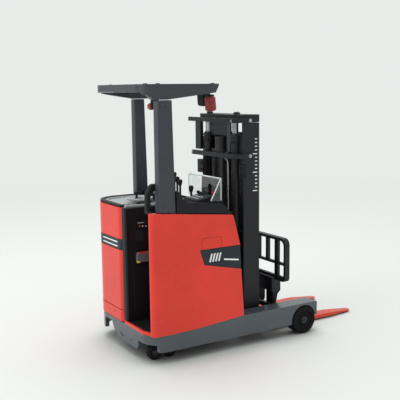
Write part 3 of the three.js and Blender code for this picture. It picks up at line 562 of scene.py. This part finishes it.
def chain(bm):
    """Leaf chain on the hoist column: side plates in pairs on pins."""
    links = 35
    pitch = 1.45
    lowest = 15.4
    plate = 0.16
    for i in range(links):
        z = lowest + i * pitch
        wide = 0.62 if i % 2 else 0.46
        lathe(bm, at(39.2, -0.75, z), (0, 1, 0), [(0.2, 0), (0.2, 1.5)], 8)
        outline = rounded_rect(38.98, 39.42, z - 0.25, z + pitch + 0.25, 0.2, 3)
        for y in (-wide, wide - plate):
            prism(bm, outline, y, y + plate, side_view)


def rail_bolts(side):
    """Bolts up the rear of one outer rail."""
    def build(bm):
        for z in (10.5, 24.5, 38.5, 52.5):
            hex_bolt(bm, at(MAST_REAR, side * 11.9, z), (-1, 0, 0), 0.42, 0.3)
    return build


def clamp(side):
    """Bolted block round the edge of one outer rail; the left one reaches further out."""
    def build(bm):
        y = side * 13.35
        outer = 0.55 if side < 0 else 2.3
        block(bm, (41.0, 42.9), sorted((y - side * 1.5, y + side * outer)), (57.3, 62.2))
        for z in (58.5, 61.0):
            hex_bolt(bm, at(41.0, y - side * 0.5, z), (-1, 0, 0), 0.4, 0.35)
            hex_bolt(bm, at(42.0, y + side * outer, z), (0, side, 0), 0.4, 0.3)
    return build


def hanging_strip(bm):
    """Bent strip under the top beam, with a foot."""
    outline = [(41.3, 77.1), (40.5, 77.1), (40.5, 66.6), (39.5, 66.2), (39.5, 65.9),
               (41.0, 66.0), (41.3, 67.0)]
    prism(bm, outline, -7.2, -5.5, side_view)


def top_shroud(bm):
    """Screwed cover plate under the top beam."""
    prism(bm, rounded_rect(-4.9, 7.4, 71.9, 77.1, 0.3, 3), 41.5, 42.3, front_view)
    for y in (-3.9, 6.4):
        hex_bolt(bm, at(41.5, y, 75.6), (-1, 0, 0), 0.35, 0.3)


def tube(points, radius):
    """Round tube on a smooth curve through points in millimetres."""
    return lambda bm: sweep(bm, curve_points([at(*p) for p in points]), radius, 12)


PIPE_RADIUS = 0.34
HOSE_RADIUS = 0.36
PIPE_RIGHT = ((38.6, -6.7, 64.5), (39.4, -6.9, 63.4), (39.8, -7.0, 61), (39.8, -7.0, 50),
              (39.8, -7.0, 40), (40.2, -7.3, 37.6), (41.2, -8.2, 36.4))
PIPE_LEFT = ((38.6, 7.6, 64.5), (39.4, 7.5, 63.4), (39.8, 7.3, 61), (39.8, 7.2, 50),
             (39.8, 7.2, 40), (40.2, 7.4, 37.6), (41.2, 8.2, 36.4))


def hose_run(y):
    """Points of one hose, from behind the hose guard down to the mast's foot."""
    return ((38.2, y, 64.9), (38.1, y, 60), (38.0, y + 0.3, 52), (38.4, y + 0.5, 40),
            (39.0, y + 0.2, 26), (39.6, y, 17), (40.4, y - 0.2, 12.8))


add("mast_chain", "mast", CHAIN, chain, smooth=30)
for side, label in SIDES:
    add(f"rail_bolts_{label}", "mast", BLACK_PAINT, rail_bolts(side), smooth=30)
    add(f"hose_clamp_{label}", "mast", BLACK, clamp(side), bevel=0.1)
add("beam_strip", "inner_mast", GUARD, hanging_strip, bevel=0.08)
add("beam_shroud", "inner_mast", BLACK_PAINT, top_shroud, bevel=0.06)
add("lift_pipe_right", "mast", CHROME, tube(PIPE_RIGHT, PIPE_RADIUS))
add("lift_pipe_left", "mast", CHROME, tube(PIPE_LEFT, PIPE_RADIUS))
for index, y in enumerate((4.6, 5.5, 6.4)):
    add(f"hose_{index + 1}", "mast", RUBBER, tube(hose_run(y), HOSE_RADIUS))


def beam_nuts(bm):
    """Round nuts where the lift rods come through the top beam."""
    for y in (-CYLINDER_Y, CYLINDER_Y):
        lathe(bm, at(42.4, y, 80.15), (0, 0, 1), [(0.7, 0), (0.7, 0.3), (0.45, 0.5), (0, 0.5)], 16)


def beam_bolts(bm):
    """Bolts through the top beam, with a head at each end."""
    for y in (-11.8, -3.0, 3.0, 11.8):
        hex_bolt(bm, at(BEAM_REAR, y, 78.2), (-1, 0, 0), 0.42, 0.3)
        hex_bolt(bm, at(BEAM_FRONT, y, 78.2), (1, 0, 0), 0.42, 0.3)


def guard_bolts(bm):
    """Bolts of the hose guard's two bars and of its plate."""
    for z in (77.45, 65.2):
        hex_bolt(bm, at(43.9, -14.7, z), (0, -1, 0), 0.5, 0.4)
    hex_bolt(bm, at(37.6, -12.4, 77.45), (-1, 0, 0), 0.4, 0.3)
    hex_bolt(bm, at(37.6, 13.4, 65.2), (-1, 0, 0), 0.4, 0.3)
    for z in (68.5, 74.5):
        hex_bolt(bm, at(41.0, 15.1, z), (-1, 0, 0), 0.35, 0.25)


add("beam_nuts", "inner_mast", STEEL, beam_nuts, smooth=30)
add("beam_bolts", "inner_mast", BLACK_PAINT, beam_bolts, smooth=30)
add("hose_guard_bolts", "mast", STEEL, guard_bolts, smooth=30)


def lift_scale(side):
    """Plain height ticks down the rail, every fifth one longer."""
    def build(bm):
        for i in range(15):
            z = 52.6 + i * 1.3
            long = 1.9 if i % 5 == 0 else 1.0
            low, high = sorted((side * (RAIL_FACE + 0.04), side * (RAIL_FACE - 0.1)))
            prism(bm, rounded_rect(47.9 - long, 47.9, z, z + 0.34, 0.08, 2), low, high, side_view)
    return build


def cylinder_collars(side):
    """Two rings, the gland and the foot of one lift cylinder."""
    ring = [(1.9, 0), (2.06, 0.12), (2.06, 0.5), (1.9, 0.62)]
    gland = [(1.75, 0), (1.75, 0.4), (1.3, 0.7), (1.18, 0.7)]
    foot = [(1.6, 0), (1.9, 0.15), (1.9, 1.2), (1.6, 1.4)]

    def build(bm):
        for z, profile in ((70.0, ring), (71.6, ring), (72.2, gland), (15.0, foot)):
            lathe(bm, at(CYLINDER_X, side * CYLINDER_Y, z), (0, 0, 1), profile, 26)
    return build


for side, label in SIDES:
    add(f"lift_scale_{label}", "mast", WHITE, lift_scale(side))
    add(f"cylinder_collars_{label}", "mast", BLACK_PAINT, cylinder_collars(side))


def carriage_bolts(bm):
    """Bolt heads on the front of the fork carriage's plates."""
    for y in (-13, 13):
        hex_bolt(bm, at(55.4, y, 17.2), (1, 0, 0), 0.5, 0.35)
    for y in (-16.8, -4.7, 4.7, 16.8):
        hex_bolt(bm, at(57.8, y, 19.9), (1, 0, 0), 0.38, 0.3)
    for y in (-3.2, 3.2):
        hex_bolt(bm, at(55, y, 14.0), (1, 0, 0), 0.45, 0.35)


def fork_hooks(bm):
    """Bolted caps that hold the forks' shanks to the carriage's upper plate."""
    for y in (-10.4, 10.4):
        block(bm, (55.3, 55.75), (y - 1.5, y + 1.5), (15.6, 18.9))
        for z in (16.4, 18.0):
            hex_bolt(bm, at(59.1, y, z), (1, 0, 0), 0.42, 0.3)


add("carriage_bolts", "fork_carriage", BLACK_PAINT, carriage_bolts, smooth=30)
add("fork_hooks", "fork_carriage", BLACK_PAINT, fork_hooks, smooth=30)


# ---------------------------------------------------------------- guard and lamps

ROOF_TOP = 89.98
PILLAR_FACE = 21.4


def roof_screws(bm):
    """Dished screws on top of the overhead guard."""
    profile = [(0.75, 0), (0.75, 0.12), (0.5, 0.3), (0.2, 0.3), (0.2, 0.12), (0, 0.12)]
    spots = ((5.4, -19.6), (2.4, -17.0), (26.2, -18.4), (26.2, 18.4), (18.4, 19.6), (6.5, 17.0))
    for x, y in spots:
        lathe(bm, at(x, y, ROOF_TOP), (0, 0, 1), profile, 18)


def pillar_screws(bm):
    """Domed screws on the outer faces of the pillars."""
    profile = [(0.5, 0), (0.5, 0.1), (0.3, 0.28), (0, 0.28)]
    spots = ((5.6, -1, 83.4), (7.9, -1, 83.4), (17.6, 1, 83.4), (19.4, 1, 83.4),
             (6.0, -1, 51.8), (18.0, 1, 50.6))
    for x, side, z in spots:
        lathe(bm, at(x, side * PILLAR_FACE, z), (0, side, 0), profile, 16)


add("roof_screws", "chassis", GUARD, roof_screws, smooth=30)
add("pillar_screws", "chassis", GUARD, pillar_screws, smooth=30)

BEACON_TILT = math.radians(8)
BEACON_AXIS = Vector((0, math.sin(BEACON_TILT), math.cos(BEACON_TILT)))
BEACON_RADIUS = 1.66
FLUTES = 20


def beacon_point(along):
    """A point on the beacon's leaning axis, in millimetres above its lowest end."""
    return at(26.4, -17.1, 81.2) + BEACON_AXIS * along * MM


def beacon_flutes(bm):
    """Moulded ribs round the lens."""
    u, v, _ = frame_of(BEACON_AXIS)
    for i in range(FLUTES):
        turn = math.tau * i / FLUTES
        out = (u * math.cos(turn) + v * math.sin(turn)) * BEACON_RADIUS * MM
        sweep(bm, [beacon_point(along) + out for along in (0.35, 2.4, 4.35)], 0.16, 6)


def beacon_rings(bm):
    """Stepped collar between the lens and its housing."""
    lathe(bm, beacon_point(4.55), BEACON_AXIS, [(1.5, 0), (1.5, 0.5), (1.1, 0.75), (0, 0.75)], 26)


add("beacon_flutes", "chassis", LENS, beacon_flutes)
add("beacon_rings", "chassis", BLACK, beacon_rings)


def lamp_trim(bm):
    """Rim round the second lamp's lens and the screw of its arm."""
    prism(bm, rounded_rect(-2.75, -0.25, 81.55, 83.85, 0.5), 12.3, 12.75, front_view)
    lathe(bm, at(15.2, -2.4, 87.0), (0, -1, 0), [(0.4, 0), (0.4, 0.15), (0, 0.25)], 14)


add("work_lamp_trim", "chassis", BLACK, lamp_trim, bevel=0.08)


# ---------------------------------------------------------------- console and controls

LEVER_X = 24.2
GAITER_FOOT = 49.45
# Each lever's body, how far left of the middle it stands, and the height of its knob.
LEVER_SPOTS = (
    ("lift_lever", 4.0, 59.0),
    ("reach_lever", 2.0, 57.6),
    ("tilt_lever", 0.0, 56.8),
    ("travel_lever", -7.5, 55.4),
)
KNOB = [(0.42, -1.9), (0.6, -1.3), (0.82, -0.7), (0.86, -0.2), (0.7, 0.15), (0.36, 0.32), (0, 0.36)]
GAITER = [(1.15, 0), (1.2, 0.2), (0.98, 0.45), (1.05, 0.65), (0.82, 0.9), (0.88, 1.1),
          (0.55, 1.5), (0.42, 1.6)]


def lever_knob(y, top):
    return lambda bm: lathe(bm, at(LEVER_X, y, top), (0, 0, 1), KNOB, 20)


def gaiter(y):
    """Ribbed boot where a lever comes out of the dash."""
    return lambda bm: lathe(bm, at(LEVER_X, y, GAITER_FOOT), (0, 0, 1), GAITER, 20)


for name, y, top in LEVER_SPOTS:
    add(f"{name}_knob", name, BLACK, lever_knob(y, top))
    add(f"{name}_gaiter", "chassis", RUBBER, gaiter(y))


def dash_top(x):
    """Height of the dash's upper face at a station."""
    return 51.6 - (x - 18.7) * 0.1


def dash_slab(bm, xs, ys, rise):
    """Thin slab that follows the dash's slope, let into it a little."""
    sink = 0.15
    heights = (-sink, rise)
    six_sided(bm, [at(x, y, dash_top(x) + dz) for x in xs for y in ys for dz in heights])


def pod_top(x):
    """Height of the instrument housing's upper face at a station."""
    return 52.28 + (x - 19.7) / 6.9 * 1.1


def instrument_pod(bm):
    """Slanted instrument housing beside the short lever."""
    outline = rounded([(19.4, 51.2), (19.6, 52.3, 0.3), (26.6, 53.4, 0.5), (27.3, 50.9)], 4)
    prism(bm, outline, -18.9, -10.4, side_view)


def pod_face(bm):
    """Dark plate on the instrument housing."""
    def place(a, b, depth):
        return at(a, b, pod_top(a) + depth)
    prism(bm, rounded_rect(20.1, 24.4, -17.9, -11.3, 0.5), -0.1, 0.07, place)


def pod_keys(bm):
    """Two rows of four round keys."""
    key = [(0.42, 0), (0.42, 0.22), (0.3, 0.34), (0, 0.34)]
    for x in (20.9, 22.6):
        for k in range(4):
            lathe(bm, at(x, -16.9 + k * 1.5, pod_top(x)), (-0.15, 0, 1), key, 14)


def toggle_knobs(bm):
    """Three small knobs, each shorter than the last."""
    for y, h in ((-9.9, 1.2), (-11.6, 1.0), (-13.2, 0.9)):
        profile = [(0.28, -0.3), (0.28, h - 0.9), (0.62, h - 0.7), (0.66, h - 0.2),
                   (0.4, h), (0, h)]
        lathe(bm, at(25.6, y, 52.9), (0, 0, 1), profile, 16)


def dash_label(xs, ys):
    return lambda bm: dash_slab(bm, xs, ys, 0.07)


add("instrument_pod", "chassis", BLACK, instrument_pod, bevel=0.14)
add("instrument_face", "chassis", BADGE, pod_face, bevel=0.03)
add("instrument_keys", "chassis", TRAY, pod_keys)
add("toggle_knobs", "chassis", BLACK, toggle_knobs)
add("dash_label_white", "chassis", WHITE,
    dash_label((19.2, 20.9), (-9.9, -6.4)), bevel=0.03)
add("dash_label_red", "chassis", RED_PRINT,
    dash_label((21.0, 21.3), (-9.6, -6.2)), bevel=0.02)
add("dash_label_plate", "chassis", BADGE,
    dash_label((19.3, 21.2), (6.6, 12.6)), bevel=0.03)


def dash_ribs(bm):
    for k in range(5):
        dash_slab(bm, (22.2 + k * 0.9, 22.6 + k * 0.9), (7.4, 15.4), 0.1)


add("dash_ribs", "chassis", BLACK, dash_ribs, bevel=0.03)


def console_seam(bm):
    """Lapped strip where the two mouldings of the console meet."""
    outline = [(17.75, 48.9), (18.15, 48.9), (18.15, 51.9), (17.75, 51.95)]
    prism(bm, outline, -21.86, -21.6, side_view)


add("console_seam", "chassis", BLACK, console_seam, bevel=0.04)


def shield_rim(bm):
    """Thicker moulded rim of the shield, pale as a painted highlight of its bright clear edges:
    across the top, down both ends and along the wing.
    """
    x = 28.2
    top = ((x, -19.75, 58.95), (x, -10, 59.0), (x, 0.35, 59.0))
    right_end = ((x, -19.85, 51.8), (x, -19.85, 55), (x, -19.8, 58.9))
    left_end = ((x, 0.45, 51.7), (x, 0.45, 55), (x, 0.4, 58.9))
    wing = ((24.3, -19.95, 51.9), (26.2, -19.95, 55.3), (28.1, -19.9, 58.8))
    for points, radius in ((top, 0.27), (right_end, 0.3), (left_end, 0.2), (wing, 0.19)):
        sweep(bm, [at(*p) for p in points], radius)


def shield_mark(bm):
    """Small red stud on the shield."""
    profile = [(0.42, 0), (0.42, 0.2), (0.28, 0.3), (0, 0.3)]
    lathe(bm, at(27.6, -15.9, 53.9), (-1, 0, 0), profile, 18)


# Its pale colour is a painted highlight for the shield's bright clear edges.
add("shield_rim", "chassis", PALE_RIM_HIGHLIGHT, shield_rim)
add("shield_mark", "chassis", RED_PRINT, shield_mark)


# ---------------------------------------------------------------- hood tray and steering

TRAY_SINK = 49.3
STEERING_X = 10.4
STEERING_Y = 4.6


def tray_shadow_lines(bm):
    """Three dark strips, each shorter than the last: painted shadow lines on the tray."""
    for k in range(3):
        x = 2.9 + k * 0.95
        outline = rounded_rect(x, x + 0.4, -0.4, 5.2 - k * 1.1, 0.18)
        prism(bm, outline, TRAY_SINK, 49.62, plan_view)


def tray_wedge(bm):
    """Dark moulding on the tray beside the steering wheel."""
    outline = rounded([(6.6, -0.4, 0.3), (14.4, -0.4, 0.3), (14.4, 0.8, 0.3), (7.6, 0.8, 0.3)], 3)
    prism(bm, outline, TRAY_SINK, 50.1, plan_view)


def steering_cap(bm):
    """Domed cap on the wheel's boss."""
    profile = [(1.5, 0), (1.5, 0.25), (1.1, 0.5), (0, 0.55)]
    lathe(bm, at(STEERING_X, STEERING_Y, 50.7), (0, 0, 1), profile, 28)


def steering_grip(bm):
    """Ring round the wheel's rim."""
    profile = [(4.3, 0), (4.62, 0.05), (4.78, 0.25), (4.62, 0.5), (4.3, 0.55),
               (4.14, 0.25), (4.3, 0)]
    lathe(bm, at(STEERING_X, STEERING_Y, 51.0), (0, 0, 1), profile, 48)


# Dark strips that stand in for lines of shadow on the tray.
add("tray_shadow_lines", "chassis", BLACK, tray_shadow_lines)
add("tray_wedge", "chassis", BLACK, tray_wedge, bevel=0.1)
add("steering_cap", "steering_wheel", BADGE, steering_cap)
add("steering_grip", "steering_wheel", TRAY, steering_grip)


# ---------------------------------------------------------------- compartment

# The liner's outer face, and how far the pieces on it are let into it.
LINER = -4.4
LET_IN = 0.1
# Where the print on the grab handle starts, inside the handle.
HANDLE_PRINT = -5.3


def liner_plate(bm, outline, thick):
    """Thin plate on the liner's outer face."""
    prism(bm, outline, LINER - thick, LINER + LET_IN, side_view)


def on_liner(outline, thick):
    return lambda bm: liner_plate(bm, outline, thick)


def liner_row(bm):
    """Row of small plain marks over the buttons."""
    for k in range(6):
        x = k * 0.42
        liner_plate(bm, rounded_rect(5.0 + x, 5.25 + x, 44.05, 44.35, 0.06, 2), 0.1)


def button(x, z):
    """Round button with a softened front."""
    radius = 0.26
    profile = [(radius, 0), (radius, 0.24), (radius * 0.7, 0.36), (0, 0.38)]
    return lambda bm: lathe(bm, at(x, LINER + LET_IN, z), (0, -1, 0), profile, 18)


def liner_stripes(bm):
    """Row of upright stripes under the switch plate."""
    for k in range(6):
        x = 4.3 + k * 0.5
        liner_plate(bm, rounded_rect(x, x + 0.2, 38.1, 41.6, 0.08, 2), 0.1)


def handle_stripe(bm):
    prism(bm, rounded_rect(4.3, 8.3, 34.1, 34.42, 0.1, 2), -5.75, HANDLE_PRINT, side_view)


def handle_corner(bm):
    prism(bm, rounded_rect(3.95, 5.0, 30.82, 31.5, 0.1, 2), -5.77, HANDLE_PRINT, side_view)


LINER_EDGE = rounded([(0.6, 11.2), (1.25, 11.2), (1.25, 49.2, 0.3), (0.6, 49.2, 0.3)])

add("liner_marks", "chassis", TRAY, liner_row)
add("liner_button_red", "chassis", RED_PRINT, button(5.7, 43.05))
add("liner_button_left", "chassis", TRAY, button(6.8, 42.95))
add("liner_button_right", "chassis", TRAY, button(8.1, 42.8))
add("liner_stripes", "chassis", BADGE, liner_stripes, bevel=0.02)
add("liner_trim", "chassis", BLACK, on_liner(LINER_EDGE, 0.28), bevel=0.08)
add("liner_panel", "chassis", BLACK,
    on_liner(rounded_rect(3.2, 16.4, 13.6, 29.4, 0.8), 0.16), bevel=0.08)
add("liner_switch_plate", "chassis", BLACK,
    on_liner(rounded_rect(4.2, 9.4, 42.0, 44.9, 0.4), 0.06), bevel=0.03)
add("handle_stripe", "chassis", RED_PRINT, handle_stripe)
add("handle_corner", "chassis", YELLOW, handle_corner)


def mat_ribs(bm):
    """Ribs across the floor mat."""
    for k in range(11):
        x = 3.0 + k * 1.3
        prism(bm, rounded_rect(x, x + 0.55, -18.6, -5.6, 0.25, 3), 10.7, 11.02, plan_view)


add("mat_ribs", "chassis", RUBBER, mat_ribs, bevel=0.05)


# ---------------------------------------------------------------- body details

BADGE_FACE = 21.93
PANEL_SCREW_Y = 21.75
PANEL_SCREW = [(0.42, 0), (0.42, 0.1), (0.28, 0.2), (0.12, 0.2), (0.12, 0.06), (0, 0.06)]


def hatch_lock(bm):
    """Dished lock of the hatch in the right panel."""
    profile = [(0.5, 0), (0.5, 0.16), (0.36, 0.22), (0.14, 0.22), (0.14, 0.08), (0, 0.08)]
    lathe(bm, at(20.6, -21.7, 38.1), (0, -1, 0), profile, 22)


def badge_bars(side):
    """Slanted bars and a stripe on the badge: a plain pattern."""
    def build(bm):
        low, high = sorted((side * BADGE_FACE, side * 21.8))
        for k in range(4):
            x = 22.2 + k * 1.15
            bar = [(x, 31.9), (x + 0.55, 31.8), (x + 1.35, 34.6), (x + 0.8, 34.6)]
            prism(bm, bar, low, high, side_view)
        stripe = [(28.0, 31.9), (33.9, 31.0), (33.9, 31.5), (28.0, 32.4)]
        prism(bm, stripe, low, high, side_view)
    return build


def band_stripes(bm):
    """Two plain stripes across the flat of the band."""
    for low, high in ((35.75, 36.15), (37.2, 37.6)):
        prism(bm, [(1.2, low), (12.6, low), (12.6, high), (1.2, high)], -0.07, 0.1, front_view)


def skirt_mark(bm):
    """Bent slot in the rear skirt."""
    outline = [(-1.7, 4.95), (0.6, 4.95), (0.6, 6.15), (0.35, 6.15), (0.35, 5.2), (-1.7, 5.2)]
    prism(bm, outline, 0.14, 0.3, front_view)


def skirt_plugs(bm):
    """Dished plugs in the rear skirt and in the lower rear cover, which stands further back."""
    profile = [(0.34, 0), (0.34, 0.14), (0.24, 0.14), (0.2, 0.04), (0, 0.04)]
    for x, y, z in ((0.3, -7.3, 5.4), (0.3, -15.0, 8.2), (0.1, 4.6, 12.4)):
        lathe(bm, at(x, y, z), (-1, 0, 0), profile, 20)


def panel_screws(bm):
    """Dished screws in the side panels; the left one's rear pair stands further forward."""
    for side, rear in ((-1, 4.2), (1, 20.0)):
        for x, z in ((rear, 14.2), (rear, 44.6), (32.4, 14.6), (31.2, 43.6)):
            lathe(bm, at(x, side * PANEL_SCREW_Y, z), (0, side, 0), PANEL_SCREW, 18)


add("hatch_lock", "chassis", RED_PRINT, hatch_lock, smooth=30)
for side, label in SIDES:
    add(f"badge_bars_{label}", "chassis", WHITE, badge_bars(side))
add("band_stripes", "chassis", WHITE, band_stripes)
add("skirt_mark", "chassis", BLACK, skirt_mark)
add("skirt_plugs", "chassis", BLACK, skirt_plugs, smooth=30)
add("panel_screws", "chassis", RED, panel_screws, smooth=30)


# ---------------------------------------------------------------- wheels

LOAD_AXLE = (62.8, 5.0)
DRIVE_AXLE = (12.0, 5.6)
CASTER_AXLES = (("caster_wheel_rear", (4.7, 2.6)), ("caster_wheel_front", (10.3, 2.6)))


def wheel_hub(axle, face, side, radius, bolts):
    """Dished hub on the outer face of a wheel, with a cap and a ring of bolts."""
    x, z = axle
    profile = [(radius, 0), (radius, 0.12), (radius * 0.82, 0.3), (radius * 0.45, 0.36),
               (radius * 0.4, 0.55), (radius * 0.2, 0.65), (0, 0.65)]
    ring = radius * 0.66

    def build(bm):
        lathe(bm, at(x, face, z), (0, side, 0), profile, 28)
        for k in range(bolts):
            turn = math.tau * k / bolts
            middle = at(x + math.cos(turn) * ring, face + side * 0.28, z + math.sin(turn) * ring)
            hex_bolt(bm, middle, (0, side, 0), radius * 0.12, 0.22)
    return build


for side, label in SIDES:
    add(f"load_hub_{label}", f"load_wheel_{label}", BLACK_PAINT,
        wheel_hub(LOAD_AXLE, side * 21.55, side, 1.85, 5), smooth=30)
for name, axle in CASTER_AXLES:
    add(f"{name}_hub", name, BLACK_PAINT, wheel_hub(axle, -16.15, -1, 1.25, 0),
        smooth=30)
add("drive_wheel_hub", "drive_wheel", BLACK_PAINT,
    wheel_hub(DRIVE_AXLE, 10.9, 1, 2.6, 5), smooth=30)


# ---------------------------------------------------------------- stage, lights, camera

BACKDROP = (0.80, 0.835, 0.815)
FLOOR_HALF = 3.0
# Just below the ground, so that the wheels' lowest points don't lie in the floor.
FLOOR_HEIGHT = -0.02 * MM
# Reach and colour of the painted shadow on the floor under the truck.
PAINTED_SHADOW_REACH = 15 * MM
PAINTED_SHADOW_COLOR = (0.1, 0.095, 0.09)
# The floor turns into the backdrop between these distances from the middle, in metres.
FADE_START = 0.12
FADE_END = 0.5


def make_floor():
    """Pale floor with a painted shadow where the truck stands close over it, that fades into the
    backdrop.
    """
    bm = bmesh.new()
    quarters = ((-1, -1), (1, -1), (1, 1), (-1, 1))
    corners = [(x * FLOOR_HALF, y * FLOOR_HALF, FLOOR_HEIGHT) for x, y in quarters]
    bm.faces.new([bm.verts.new(corner) for corner in corners])
    mesh = bpy.data.meshes.new("floor")
    bm.to_mesh(mesh)
    bm.free()
    floor = bpy.data.objects.new("floor", mesh)
    bpy.context.scene.collection.objects.link(floor)
    material, tree, shader, coords = new_material("pale_floor")
    shader.inputs["Roughness"].default_value = 0.75
    shader.inputs["Specular IOR Level"].default_value = 0.0
    grain = noise(tree, coords, 0.8, 3.0)
    near = mixed(tree, grain, (0.85, 0.86, 0.85), (0.87, 0.88, 0.87))
    # Painted shadow: the floor darkens where the truck stands close over it.
    shade = tree.nodes.new("ShaderNodeAmbientOcclusion")
    shade.samples = 8
    shade.inputs["Distance"].default_value = PAINTED_SHADOW_REACH
    painted_shadow = spread(tree, shade.outputs["AO"], 0.8, 0.08, 0.22, 0.8)
    near = mixed(tree, painted_shadow, near, PAINTED_SHADOW_COLOR)
    reach = tree.nodes.new("ShaderNodeVectorMath")
    reach.operation = "LENGTH"
    tree.links.new(coords, reach.inputs[0])
    far = spread(tree, reach.outputs["Value"], 0.0, 1.0, FADE_START, FADE_END)
    tree.links.new(mixed(tree, far, near, (0.0, 0.0, 0.0)), shader.inputs["Base Color"])
    shader.inputs["Emission Color"].default_value = (*BACKDROP, 1)
    tree.links.new(far, shader.inputs["Emission Strength"])
    mesh.materials.append(material)


make_floor()

bpy.context.scene.view_settings.view_transform = "Standard"
world = bpy.data.worlds.new("studio")
world.use_nodes = True
bpy.context.scene.world = world
background = world.node_tree.nodes["Background"]
background.inputs["Color"].default_value = (*BACKDROP, 1)
background.inputs["Strength"].default_value = 1.0


def softbox(name, centre, target, power):
    """Square area light that points at the target."""
    light = bpy.data.lights.new(name, "AREA")
    light.shape = "RECTANGLE"
    light.size = 0.3
    light.size_y = 0.3
    light.energy = power
    obj = bpy.data.objects.new(name, light)
    bpy.context.scene.collection.objects.link(obj)
    obj.location = centre
    obj.rotation_mode = "QUATERNION"
    obj.rotation_quaternion = (Vector(target) - Vector(centre)).to_track_quat("-Z", "Y")


softbox("overhead", (0.02, 0.12, 0.5), (0, 0, 0), 0.75)
softbox("rear_side", (-0.45, -0.02, 0.22), (0, 0, 0.04), 0.6)

# The camera looks at the right side from about 32 degrees behind it and 8.5 degrees above.
AZIMUTH = math.radians(-31.57)
ELEVATION = math.radians(8.5)
ROLL = math.radians(-0.63)
DISTANCE = 0.26305
FOCAL_LENGTH = 66.1
SENSOR_WIDTH = 36
AIM = at(32.325, 0, 49.056)
level = math.cos(ELEVATION)
back = Vector((math.sin(AZIMUTH) * level, -math.cos(AZIMUTH) * level, math.sin(ELEVATION)))
right = (-back).cross(Vector((0, 0, 1))).normalized()
up = right.cross(-back)
across = right * math.cos(ROLL) + up * math.sin(ROLL)
upward = up * math.cos(ROLL) - right * math.sin(ROLL)
camera_data = bpy.data.cameras.new("camera")
camera_data.lens = FOCAL_LENGTH
camera_data.sensor_width = SENSOR_WIDTH
camera_data.clip_start = 0.01
camera = bpy.data.objects.new("camera", camera_data)
bpy.context.scene.collection.objects.link(camera)
turn = Matrix((across, upward, back)).transposed().to_4x4()
camera.matrix_world = Matrix.Translation(AIM + back * DISTANCE) @ turn
bpy.context.scene.camera = camera
